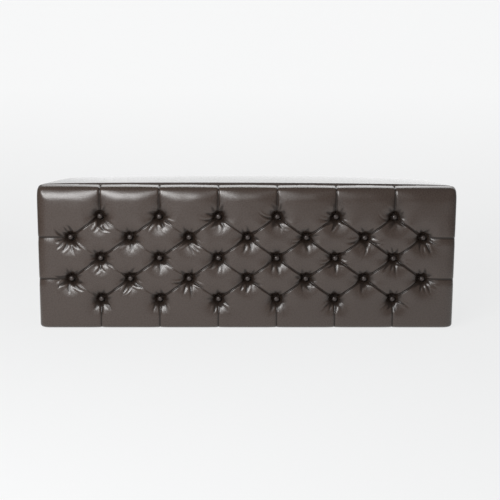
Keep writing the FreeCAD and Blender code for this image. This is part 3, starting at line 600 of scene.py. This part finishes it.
def pad_mesh(pad):
    """The buttoned leather as a closed form: front, rolled edges, walls back to the board, and a plain back.
    Also gives each point's painted shade: how deep in a fold it lies, darker in the small folds' furrows and
    along the pleats' lines, and the depth of the notches on the walls."""
    across, upward = pad_lines(pad, CELLS)
    s, t = np.meshgrid(across, upward, indexing="ij")
    base, way = rolled(pad, s, t)
    crease, line = from_pleats(pad, s, t)[1:3]
    wrinkles = wrinkle_depth(pad, s, t)
    depth = drawn_in(pad, s, t) + crease + wrinkles
    places = base - way * np.minimum(depth, pad.tuft + 1.0)[..., None]
    places = places + settled(pad, across, upward)
    points = places.reshape(-1, 3)
    over = np.maximum(points[:, 2] - pad.thick + CREST_START, 0)
    points[:, 2] += CREST_ROOM * np.tanh(over / CREST_ROOM) - over
    faces = grid_faces(len(across), len(upward), pleat_slopes(pad, s, t))
    loop = rim_loop(len(across), len(upward))
    rings, notches = zip(*pad_walls(pad, base.reshape(-1, 3)[loop], way.reshape(-1, 3)[loop],
                                    s.ravel()[loop], t.ravel()[loop]))
    points = carried_on(points, faces, loop, rings)
    # Painted shade: darker the deeper a point is drawn in, with darker furrows, lighter lips and dark pleat
    # lines.
    dark_folds = np.where(wrinkles > 0, DARK_FURROW, DARK_LIP) * wrinkles
    shade = np.maximum(depth + dark_folds, DARK_LINE * pad.tuft * line).ravel()
    return points, faces, np.concatenate([shade, *notches]) / pad.tuft


def leather_grain_group():
    """Pebbled grain, fine creases and an uneven dye, shared by every leather piece."""
    group = bpy.data.node_groups.new("leather_grain", "ShaderNodeTree")
    group.interface.new_socket("Grain Scale", in_out="INPUT", socket_type="NodeSocketFloat")
    for name in ("Height", "Dye", "Polish"):
        group.interface.new_socket(name, in_out="OUTPUT", socket_type="NodeSocketFloat")
    inlet = group.nodes.new("NodeGroupInput")
    outlet = group.nodes.new("NodeGroupOutput")
    where = place(group)
    pebbles = add(group, "TexVoronoi", {"Vector": where, "Scale": inlet.outputs[0]},
                  feature="DISTANCE_TO_EDGE")
    pebble = ramp(group, pebbles.outputs["Distance"], [(0.0, 0.0), (0.16, 0.8), (0.5, 1.0)])
    creases = noise(group, where, 190.0, 4, 0.6)
    clouds = noise(group, where, 7.0, 3, 0.55)
    height = add(group, "Math", {0: pebble, 1: creases}, operation="ADD").outputs[0]
    for socket, name in ((height, "Height"), (clouds, "Dye"), (creases, "Polish")):
        group.links.new(socket, outlet.inputs[name])
    return group


leather_grain = leather_grain_group()


def leather_material(name, dye, rub, polish=0.24, topcoat=0.0):
    """Semi-gloss pigmented leather. dye is its colour, and rub the colour where it is stretched or handled,
    on the crests.
    polish is its least roughness, and topcoat the weight of its clear finish. Where the fold attribute is
    high, in the holes, creases and pleat lines, the colour is darkened as painted shade and the reflection
    weakened as painted shade."""
    material, tree, shader = new_material(name)
    grain = add(tree, "Group", {"Grain Scale": 620.0}, node_tree=leather_grain)
    fold = add(tree, "Attribute", attribute_name="fold").outputs["Fac"]
    shade = ramp(tree, grain.outputs["Dye"], [(0.30, tuple(0.86 * c for c in dye)), (0.70, dye)])
    # Painted shade: the colour runs from rub on the crests to dye, then darkens to about a fifth of it deep
    # in the folds.
    rub_and_painted_shade = ramp(tree, fold, [(0.0, rub), (0.14, dye), (0.38, tuple(0.22 * c for c in dye))])
    rough = ramp(tree, grain.outputs["Polish"], [(0.3, polish), (0.7, polish + 0.08)])
    # Painted shade on the reflection: it weakens deep in the folds.
    gloss = ramp(tree, fold, [(0.20, 0.5), (0.34, 0.16)])
    feed(tree, shader, {"Base Color": mixed(tree, 0.75, shade, rub_and_painted_shade), "Roughness": rough,
                        "Specular IOR Level": gloss, "Coat Weight": topcoat, "Coat Roughness": polish})
    bump(tree, shader, grain.outputs["Height"], 0.22, 0.00012)
    return material


leather = leather_material("brown_leather", (0.062, 0.0425, 0.033), (0.066, 0.0465, 0.037), 0.24, 0.4)


def thin_sheet(x_range, y_range, z_range, step, lift=None):
    """A thin closed sheet lying level, as points in the row frame and faces. lift raises both its sides in
    places."""
    x, y = np.meshgrid(divided(*x_range, step), divided(*y_range, step), indexing="ij")
    raised = np.zeros_like(x) if lift is None else lift(x, y)
    upper = np.stack([x, y, z_range[1] + raised], -1).reshape(-1, 3)
    lower = np.stack([x, y, z_range[0] + raised], -1).reshape(-1, 3)
    columns, rows = x.shape
    faces = []
    for i in range(columns - 1):
        for j in range(rows - 1):
            a, b, c, d = i * rows + j, (i + 1) * rows + j, (i + 1) * rows + j + 1, i * rows + j + 1
            faces += [[a, b, c, d], [len(upper) + k for k in (d, c, b, a)]]
    loop = rim_loop(columns, rows)
    faces += ring_faces(loop, [len(upper) + k for k in loop])
    return np.concatenate([upper, lower]), faces


TURNED = (415.0, 416.2)
FACED = (411.0, 416.2)
FACING = 0.9
TUCKED = (3.6, 4.8)
TUCK = 14.0
LAP = 1.0
STRIP_STEP = 10.0


def mark_painted_shade(piece, folds):
    """Gives the leather's material each point's painted shade, from 0 on the crest to 1, as its fold
    attribute.
    """
    marks = piece.data.attributes.new("fold", "FLOAT", "POINT")
    marks.data.foreach_set("value", folds.astype(np.float32))


def with_strips(points, faces, strips):
    """A piece's points with those of more strips of its leather, given as x, y and z ranges. The strips'
    faces are added to its faces."""
    for x_range, y_range, z_range in strips:
        more, more_faces = thin_sheet(x_range, y_range, z_range, STRIP_STEP)
        faces += [[len(points) + i for i in face] for face in more_faces]
        points = np.concatenate([points, more])
    return points


def cushion(name, pad, to_row, strips, *replaced):
    """A buttoned cushion, with the strips of its leather that are turned over, down inside and under the
    board."""
    points, faces, folds = pad_mesh(pad)
    points = with_strips(to_row(points), faces, strips)
    piece = make_piece(name, points, faces, leather)
    mark_painted_shade(piece, np.pad(folds, (0, len(points) - len(folds))))
    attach(piece, "carcass")
    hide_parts(*replaced)


def on_front(points):
    return np.column_stack([points[:, 0], FRONT_FACE - points[:, 2], points[:, 1]])


def on_right_end(points):
    return np.column_stack([END_FACE + points[:, 2], END_MIDDLE + points[:, 0], points[:, 1]])


def on_left_end(points):
    return np.column_stack([-END_FACE - points[:, 2], END_MIDDLE - points[:, 0], points[:, 1]])


FRONT_INSIDE = -171.5
BACK_INSIDE = 196.0
BACK_FACE = 211.0
END_INSIDE = 594.0
STRIP_GAP = 0.4

strip_heights = (TURNED, FACED, TUCKED)
facing_half = END_INSIDE - STRIP_GAP / 2
long_strips = ((-END_FACE, END_FACE), (-facing_half, facing_half), (-END_FACE, END_FACE))
end_strips = ((FRONT_INSIDE + STRIP_GAP, BACK_INSIDE - STRIP_GAP),
              (FRONT_INSIDE + FACING + STRIP_GAP, BACK_INSIDE - FACING - STRIP_GAP),
              (FRONT_FACE + TUCK + STRIP_GAP, BACK_FACE - TUCK - STRIP_GAP))


def strip_widths(face, inside):
    """Ranges through a board of its leather turned over its top, down inside it and under it."""
    way = math.copysign(1, inside - face)
    return [sorted(ends) for ends in ((face - LAP * way, inside), (inside, inside + FACING * way),
                                      (face - LAP * way, face + TUCK * way))]


cushion("front_leather", front_pad, on_front,
        zip(long_strips, strip_widths(FRONT_FACE, FRONT_INSIDE), strip_heights),
        "front_cushion", "front_foam")
cushion("right_end_leather", end_pad, on_right_end,
        zip(strip_widths(END_FACE, END_INSIDE), end_strips, strip_heights),
        "right_end_cushion", "right_end_foam")
end_pad.seed = 37
cushion("left_end_leather", end_pad, on_left_end,
        zip(strip_widths(-END_FACE, -END_INSIDE), end_strips, strip_heights),
        "left_end_cushion", "left_end_foam")


# Covered buttons: a leather disc gathered round a domed shell and crimped on a nail-back, then driven into
# the board. The cover is drawn tight over the dome, with small gathers round its edge.

button_draw = np.random.default_rng(5)
BUTTON_PROFILE = [(1.4, 17.4), (3.2, 17.15), (5.0, 16.5), (6.5, 15.4), (7.6, 14.2), (8.25, 13.1), (8.5, 12.2),
                  (8.1, 11.4), (6.6, 10.6), (4.4, 9.0), (2.6, 6.4), (1.6, 3.0), (1.4, -2.0)]
BUTTON_CROWN = 17.45
BUTTON_SIDES = 28
RUFFLE, RUFFLE_HEIGHT, RUFFLE_REACH = 0.13, 12.0, 3.0
LEAN = 0.05
SHADE_DEPTH = 8.0
NAIL_TOP = 4.0


def one_button():
    """A covered button, leaning a little, as (across, up, out) from its seat, with faces and the painted
    shade of each point, darker down its sides away from the crown."""
    turn = np.linspace(0, 2 * math.pi, BUTTON_SIDES, endpoint=False)
    phase = button_draw.uniform(0, 2 * math.pi, 3)
    gathers = np.cos(9 * turn + phase[0]) + 0.6 * np.cos(14 * turn + phase[1])
    lean = button_draw.normal(0, LEAN, 2)
    points = [np.array([[0.0, 0.0, BUTTON_CROWN]])]
    for radius, height in BUTTON_PROFILE:
        ruffle = RUFFLE * gathers * max(0.0, 1 - abs(height - RUFFLE_HEIGHT) / RUFFLE_REACH)
        points.append(np.column_stack([(radius + ruffle) * np.cos(turn), (radius + ruffle) * np.sin(turn),
                                       np.full(BUTTON_SIDES, height)]))
    points = np.concatenate(points)
    # Painted shade: darker down the sides, away from the crown.
    folds = np.clip((BUTTON_CROWN - points[:, 2]) / SHADE_DEPTH, 0, 1)
    points[:, 2] += np.where(points[:, 2] > NAIL_TOP, points[:, :2] @ lean, 0)
    ring = [[1 + k * BUTTON_SIDES + i for i in range(BUTTON_SIDES)] for k in range(len(BUTTON_PROFILE))]
    faces = [[0, ring[0][i], ring[0][(i + 1) % BUTTON_SIDES]] for i in range(BUTTON_SIDES)]
    for near, far in zip(ring, ring[1:]):
        faces += ring_faces(near, far)
    faces.append(ring[-1][::-1])
    return points, faces, folds


def buttons(name, pad, to_row, replaced):
    """All the covered buttons of a pad as one piece."""
    points, faces, folds = [], [], []
    for a, b, _, _ in button_places(pad):
        more, more_faces, more_folds = one_button()
        folds.append(more_folds)
        start = sum(map(len, points))
        faces += [[start + i for i in face] for face in more_faces]
        points.append(more + np.array([a, b, pad.thick - pad.tuft]))
    piece = make_piece(name, to_row(np.concatenate(points)), faces, button_leather)
    mark_painted_shade(piece, np.concatenate(folds))
    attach(piece, "carcass")
    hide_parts(replaced)


button_leather = leather_material("button_leather", (0.052, 0.039, 0.035), (0.058, 0.045, 0.040))
buttons("front_button_covers", front_pad, on_front, "front_buttons")
buttons("right_end_button_covers", end_pad, on_right_end, "right_end_buttons")
buttons("left_end_button_covers", end_pad, on_left_end, "left_end_buttons")


# Back: plain leather over thin wadding, stretched across the back board.
# It is turned over the board's top and down inside, and stapled underneath.

BACK_STEP, EDGE_STEP = 12.0, 1.5
BACK_RINGS = [(0.0, 0.5), (0.5, 0.0), (30.0, 0.0)]
back_pad = SimpleNamespace(half=END_FACE, low=LEATHER_BOTTOM, high=END_TOP, thick=4.5,
                           side_roll=((4.0, 90.0),), top_roll=((4.0, 90.0),), low_roll=((4.0, 90.0),))


def panel_lines(low, high, low_roll, high_roll, step):
    """Grid lines one way over a plain panel, closer together on its rolled edges."""
    first, last = low + roll_reach(low_roll), high - roll_reach(high_roll)
    return np.concatenate([divided(first - roll_length(low_roll), first, EDGE_STEP)[:-1],
                           divided(first, last, step),
                           divided(last, last + roll_length(high_roll), EDGE_STEP)[1:]])


def panel_mesh(pad, step, depth_at, rings_at):
    """A plain covered panel as a closed form. rings_at gives (inset, out) for each ring behind its rolled
    edge."""
    across = panel_lines(-pad.half, pad.half, pad.side_roll, pad.side_roll, step)
    upward = panel_lines(pad.low, pad.high, pad.low_roll, pad.top_roll, step)
    s, t = np.meshgrid(across, upward, indexing="ij")
    base, way = rolled(pad, s, t)
    points = (base - way * depth_at(s, t)[..., None]).reshape(-1, 3)
    faces = grid_faces(len(across), len(upward), np.ones((len(across) - 1, len(upward) - 1), bool))
    loop = rim_loop(len(across), len(upward))
    rim = base.reshape(-1, 3)[loop]
    rings = [np.column_stack([drawn_inward(pad, rim, inset), np.full(len(rim), out)])
             for inset, out in rings_at]
    return carried_on(points, faces, loop, rings), faces


def sagging(depth, size, seed):
    """A gently uneven sag of up to about twice that depth, in waves about size long, at places (x, y)."""
    return lambda x, y: depth + depth * slack(x, y, np.random.default_rng(seed), size)


points, faces = panel_mesh(back_pad, BACK_STEP, sagging(0.25, 150.0, 41), BACK_RINGS)
points = np.column_stack([-points[:, 0], BACK_FACE + points[:, 2], points[:, 1]])
points = with_strips(points, faces, zip(long_strips, strip_widths(BACK_FACE, BACK_INSIDE), strip_heights))
back = make_piece("back_leather", points, faces, leather)
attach(back, "carcass")
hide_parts("back_cover", "back_padding")


# Storage lining: a tray of black non-woven cloth sewn from a floor and four walls.
# It is stapled to the boards below their tops, up to the edge of the turned-down leather.

def cloth_material(name, colour):
    """Spun-bonded cloth: tangled fibres pressed together at rows of small dots."""
    material, tree, shader = new_material(name)
    fibres = noise(tree, place(tree), 900.0, 4, 0.7)
    clouds = noise(tree, place(tree), 14.0, 3)
    dots = add(tree, "TexVoronoi", {"Vector": place(tree), "Scale": 380.0, "Randomness": 0.0})
    dot = ramp(tree, dots.outputs["Distance"], [(0.18, 0.0), (0.34, 1.0)])
    tone = ramp(tree, clouds, [(0.3, tuple(0.8 * c for c in colour)), (0.7, tuple(1.25 * c for c in colour))])
    speck = ramp(tree, fibres, [(0.35, 0.7), (0.7, 1.3)])
    feed(tree, shader, {"Base Color": mixed(tree, 1.0, tone, speck, "MULTIPLY"),
                        "Roughness": ramp(tree, dot, [(0.0, 0.62), (1.0, 0.9)])})
    height = add(tree, "Math", {0: fibres, 1: dot}, operation="ADD").outputs[0]
    bump(tree, shader, height, 0.5, 0.00025)
    return material


lining_cloth = cloth_material("lining_cloth", (0.022, 0.022, 0.024))
LINING_TOP = FACED[0]
FLOOR_TOP = 33.8
LINING = 1.0
LINING_CORNER = 8.0
LINING_BEND = 6.0
FLOOR_INSETS = (180.0, 150.0, 100.0, 50.0, 20.0)
WALL_START = 20.0


def rounded_loop(half_x, half_y, corner):
    """Points round a rectangle with rounded corners about (0, 0), counter-clockwise, always as many."""
    long, short = np.linspace(-1, 1, 60)[:-1], np.linspace(-1, 1, 24)[:-1]
    bend = np.linspace(0, math.pi / 2, 7)[:-1]
    x, y = half_x - corner, half_y - corner
    sides = [np.column_stack([long * x, np.full(len(long), -half_y)]),
             np.column_stack([x + corner * np.sin(bend), -y - corner * np.cos(bend)]),
             np.column_stack([np.full(len(short), half_x), short * y]),
             np.column_stack([x + corner * np.cos(bend), y + corner * np.sin(bend)])]
    return np.concatenate(sides + [-side for side in sides])


def lining_mesh():
    """The tray with both sides of its cloth, from the middle of the floor up the boards and back down
    inside."""
    half_x, half_y = END_INSIDE, (BACK_INSIDE - FRONT_INSIDE) / 2
    middle_y = (BACK_INSIDE + FRONT_INSIDE) / 2
    rings = [(inset, 0.0) for inset in FLOOR_INSETS]
    rings += [(LINING_BEND * (1 - math.sin(a)), LINING_BEND * (1 - math.cos(a)))
              for a in np.linspace(0, math.pi / 2, 6)]
    rings += [(0.0, z) for z in np.linspace(WALL_START, LINING_TOP - FLOOR_TOP, 22)]
    loops = []
    for offset, order in ((0.0, rings), (LINING, rings[::-1])):
        for inset, rise in order:
            loop = rounded_loop(half_x - inset - offset, half_y - inset - offset, LINING_CORNER - offset)
            height = FLOOR_TOP + rise + (offset if rise < WALL_START else 0.0)
            loops.append(np.column_stack([loop[:, 0], loop[:, 1] + middle_y, np.full(len(loop), height)]))
    count = len(loops[0])
    faces = [list(range(count))[::-1]]
    for k in range(len(loops) - 1):
        near, far = k * count, (k + 1) * count
        faces += [[near + i, near + (i + 1) % count, far + (i + 1) % count, far + i] for i in range(count)]
    faces.append([(len(loops) - 1) * count + i for i in range(count)])
    return np.concatenate(loops), faces


lining = make_piece("lining_tray", *lining_mesh(), lining_cloth)
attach(lining, "carcass")
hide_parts("storage_lining")


# Dust cover: black non-woven cloth stapled flat under the base, over the turned-under leather.
# It hides the staples and keeps dust out.

DUST = (2.9, 3.4)
DUST_STEP = 14.0
DUST_FRONT = FRONT_FACE + 1.2

points, faces = thin_sheet((-END_FACE, END_FACE), (DUST_FRONT, BACK_FACE), DUST, DUST_STEP,
                           sagging(0.25, 120.0, 61))
dust = make_piece("dust_cloth", points, faces, cloth_material("dust_cloth", (0.018, 0.018, 0.019)))
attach(dust, "carcass")
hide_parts("dust_cover")


# Lid: smooth leather drawn over foam on the lid board and turned under its edge, where it is stapled.
# The foam crowns the top, and the leather rounds over the edges and falls a little towards the ends.

LID_BOTTOM = 419.0
LID_STEP = 8.0
LID_LEATHER = 1.15
LID_TUCK = 48.0
LID_RINGS = [(0.0, 12.0), (0.0, 7.0), (0.0, 3.0), (0.3, 1.0), (1.0, 0.3), (2.0, 0.0), (LID_TUCK / 2, 0.0),
             (LID_TUCK, 0.0), (LID_TUCK, LID_LEATHER), (1.3, LID_LEATHER), (1.3, 13.4)]
CROWN, CROWN_LOSS, CROWN_REACH = 11.5, 6.5, 195.0
END_FALL, EDGE_FALL, EDGE_POWER = 5.0, 2.0, 14
LID_SLACK, LID_SLACK_SIZE = 0.02, 190.0
lid_pad = SimpleNamespace(half=630.0, low=-183.5, high=214.5, thick=28.5, side_roll=((12.0, 90.0),),
                          top_roll=((11.0, 90.0),), low_roll=((11.0, 90.0),))


def lid_depth(s, t):
    """Crown of the lid, as a depth below its edge's height, so mostly negative."""
    v = np.clip((t - (lid_pad.low + lid_pad.high) / 2) / CROWN_REACH, -1, 1)
    u = np.clip(s / lid_pad.half, -1, 1)
    edge = np.abs(u) ** EDGE_POWER
    crown = (CROWN - CROWN_LOSS * u ** 2) * (1 - v ** 2) * (1 - edge)
    draw = np.random.default_rng(71)
    uneven = 1 + LID_SLACK * slack(s, t, draw, LID_SLACK_SIZE)
    return END_FALL * u ** 2 + EDGE_FALL * edge - crown * uneven


points, faces = panel_mesh(lid_pad, LID_STEP, lid_depth, LID_RINGS)
points[:, 2] += LID_BOTTOM
lid_leather = leather_material("lid_leather", (0.066, 0.050, 0.044), (0.070, 0.054, 0.048), 0.16, 0.5)
lid = make_piece("lid_leather", points, faces, lid_leather)
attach(lid, "lid")
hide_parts("lid_cover", "lid_foam")


# Lid lining: the same black cloth as the tray, stapled under the lid board.
# It lies inside the edge of the turned-under leather and covers the bare board.

UNDER = (419.3, 419.8)
UNDER_STEP = 12.0
UNDER_INSET = LID_TUCK + STRIP_GAP

points, faces = thin_sheet((UNDER_INSET - lid_pad.half, lid_pad.half - UNDER_INSET),
                           (lid_pad.low + UNDER_INSET, lid_pad.high - UNDER_INSET), UNDER, UNDER_STEP,
                           sagging(0.2, 110.0, 67))
under = make_piece("lid_under_cloth", points, faces, lining_cloth)
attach(under, "lid")
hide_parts("lid_lining")


# Hinges and stays: pressed steel leaves, plates, brackets and slotted arms, zinc plated.
# Countersunk screws hold them to the boards.

def steel_material(name, tint, rough):
    material, tree, shader = new_material(name)
    brushed = noise(tree, place(tree, (60, 600, 600)), 3.0, 4)
    bloom = noise(tree, place(tree), 45.0, 4, 0.6)
    tone = ramp(tree, bloom, [(0.3, tuple(0.82 * c for c in tint)), (0.7, tint)])
    feed(tree, shader, {"Base Color": tone, "Metallic": 1.0,
                        "Roughness": ramp(tree, bloom, [(0.3, rough + 0.12), (0.7, rough)])})
    bump(tree, shader, brushed, 0.15, 0.0001)
    return material


plated = steel_material("plated_steel", (0.60, 0.60, 0.585), 0.30)
screw_steel = steel_material("screw_steel", (0.52, 0.50, 0.44), 0.34)
for spot in ("left", "middle", "right"):
    paint(plated, f"{spot}_hinge_wall_leaf", f"{spot}_hinge_lid_leaf", f"{spot}_hinge_pin")
for side in ("left", "right"):
    paint(plated, f"{side}_stay_plate", f"{side}_stay_bracket", f"{side}_stay_arm")
    paint(screw_steel, f"{side}_stay_pin", f"{side}_stay_rivet")
paint(screw_steel, "hinge_wall_screws", "hinge_lid_screws", "stay_plate_screws", "stay_bracket_screws")


# Lid bumpers: small stick-on rubber discs on the walls' tops.
# The lid lands on them when it is shut.

material, tree, shader = new_material("bumper_rubber")
bloom = noise(tree, place(tree), 260.0, 3)
tone = ramp(tree, bloom, [(0.35, (0.018, 0.018, 0.018)), (0.7, (0.04, 0.04, 0.042))])
feed(tree, shader, {"Base Color": tone, "Roughness": ramp(tree, bloom, [(0.3, 0.7), (0.7, 0.85)])})
bump(tree, shader, bloom, 0.3, 0.0002)
paint(material, "lid_bumpers")


# Stage: a pale paper floor that curves up into a backdrop, under two softboxes.
# Camera rays and reflections see it nearly white.

GLOW_SHARE = 0.80
FLOOR_NEAR, FLOOR_FAR, SWEEP_BEND, SWEEP_TOP, SWEEP_HALF = -6.0, 1.6, 1.2, 5.0, 7.0


def stage_material():
    """Matt pale paper, which glows for camera and mirrored rays though it is no lamp. Camera rays see it glow
    a little brighter higher up. Mirrored rays see painted light on it, brighter behind and much brighter high
    up, and painted shade on its sides."""
    material, tree, shader = new_material("studio_sweep")
    feed(tree, shader, {"Base Color": (0.86, 0.865, 0.87, 1), "Roughness": 0.9})

    def between(value, start, end, low, high):
        """Runs from low, where the value is start, to high, where it is end."""
        return add(tree, "MapRange", {"Value": value, "From Min": start, "From Max": end,
                                      "To Min": low, "To Max": high}).outputs[0]

    def joined(operation, first, second):
        return add(tree, "Math", {0: first, 1: second}, operation=operation).outputs[0]

    path = add(tree, "LightPath").outputs
    where = add(tree, "SeparateXYZ", {0: add(tree, "TexCoord").outputs["Object"]}).outputs
    # Glow strengths: a little brighter higher up for camera rays. For mirrored rays, painted light behind and
    # high up and painted shade at the sides.
    height = between(where["Z"], 0.0, 0.9, 1.0, 1.12)
    behind = between(where["Y"], 0.2, 1.8, 1.0, 1.5)
    left = between(where["X"], -2.2, -0.9, 0.1, 1.0)
    right = between(where["X"], 1.3, 2.4, 1.0, 0.35)
    above = between(where["Z"], 1.3, 2.6, 1.0, 2.6)
    across = joined("MULTIPLY", behind, joined("MULTIPLY", left, right))
    mirrored = joined("MULTIPLY", across, above)
    strength = add(tree, "Mix", {0: path["Is Glossy Ray"], 2: height, 3: mirrored}).outputs[0]
    glow = add(tree, "Emission", {"Color": (0.965, 0.97, 0.972, 1), "Strength": strength})
    seen = joined("MAXIMUM", path["Is Camera Ray"], path["Is Glossy Ray"])
    mix = add(tree, "MixShader", {0: joined("MULTIPLY", seen, GLOW_SHARE), 1: shader.outputs[0],
                                  2: glow.outputs[0]})
    feed(tree, tree.nodes["Material Output"], {"Surface": mix.outputs[0]})
    return material


def sweep():
    """The paper as one sheet: level floor, bend and upright backdrop, from places in metres."""
    profile = [(FLOOR_NEAR, 0.0), (FLOOR_FAR, 0.0)]
    profile += [(FLOOR_FAR + SWEEP_BEND * math.sin(a), SWEEP_BEND - SWEEP_BEND * math.cos(a))
                for a in np.linspace(0.1, math.pi / 2, 14)]
    profile.append((FLOOR_FAR + SWEEP_BEND, SWEEP_TOP))
    points = [(x * 1000, y * 1000, z * 1000) for x in (-SWEEP_HALF, SWEEP_HALF) for y, z in profile]
    count = len(profile)
    faces = [[i, count + i, count + i + 1, i + 1] for i in range(count - 1)]
    return make_piece("studio_sweep", points, faces, stage_material())


sweep()

world = bpy.data.worlds.new("studio_world")
bpy.context.scene.world = world
world.use_nodes = True
feed(world.node_tree, world.node_tree.nodes["Background"],
     {"Color": (0.18, 0.18, 0.182, 1), "Strength": 1.0})


def softbox(name, place_m, target_m, size, watts):
    lamp = bpy.data.lights.new(name, "AREA")
    lamp.shape = "RECTANGLE"
    lamp.size, lamp.size_y = size
    lamp.energy = watts
    holder = bpy.data.objects.new(name, lamp)
    holder.location = place_m
    holder.rotation_euler = (Vector(target_m) - Vector(place_m)).to_track_quat("-Z", "Y").to_euler()
    bpy.context.scene.collection.objects.link(holder)


softbox("key_softbox", (-1.2, -2.6, 1.28), (-0.1, -0.2, 0.3), (1.5, 1.0), 53.0)
softbox("side_softbox", (0.05, -2.6, 1.28), (0.0, -0.2, 0.3), (1.0, 1.0), 3.0)


# Camera: a little left of the middle and just above the bench, looking slightly down, as in the photograph.
# Its focal length is given as a share of the picture's width, both in pixels of the photograph.

CAMERA_AT = (-0.046, -2.600, 0.571)
PITCH_DOWN, YAW_RIGHT, ROLL = math.radians(7.78), math.radians(1.27), math.radians(0.30)
FOCAL_SHARE = 793.0 / 500.0
SENSOR = 36.0

camera = bpy.data.cameras.new("photo_camera")
camera.sensor_width = SENSOR
camera.lens = SENSOR * FOCAL_SHARE
holder = bpy.data.objects.new("photo_camera", camera)
forward = Vector((math.sin(YAW_RIGHT) * math.cos(PITCH_DOWN), math.cos(YAW_RIGHT) * math.cos(PITCH_DOWN),
                  -math.sin(PITCH_DOWN)))
level = forward.cross(Vector((0, 0, 1))).normalized()
upright = level.cross(forward)
right = level * math.cos(ROLL) + upright * math.sin(ROLL)
up = right.cross(forward)
holder.matrix_world = Matrix.Translation(CAMERA_AT) @ Matrix((right, up, -forward)).transposed().to_4x4()
bpy.context.scene.collection.objects.link(holder)
bpy.context.scene.camera = holder
bpy.context.scene.view_settings.view_transform = "Standard"
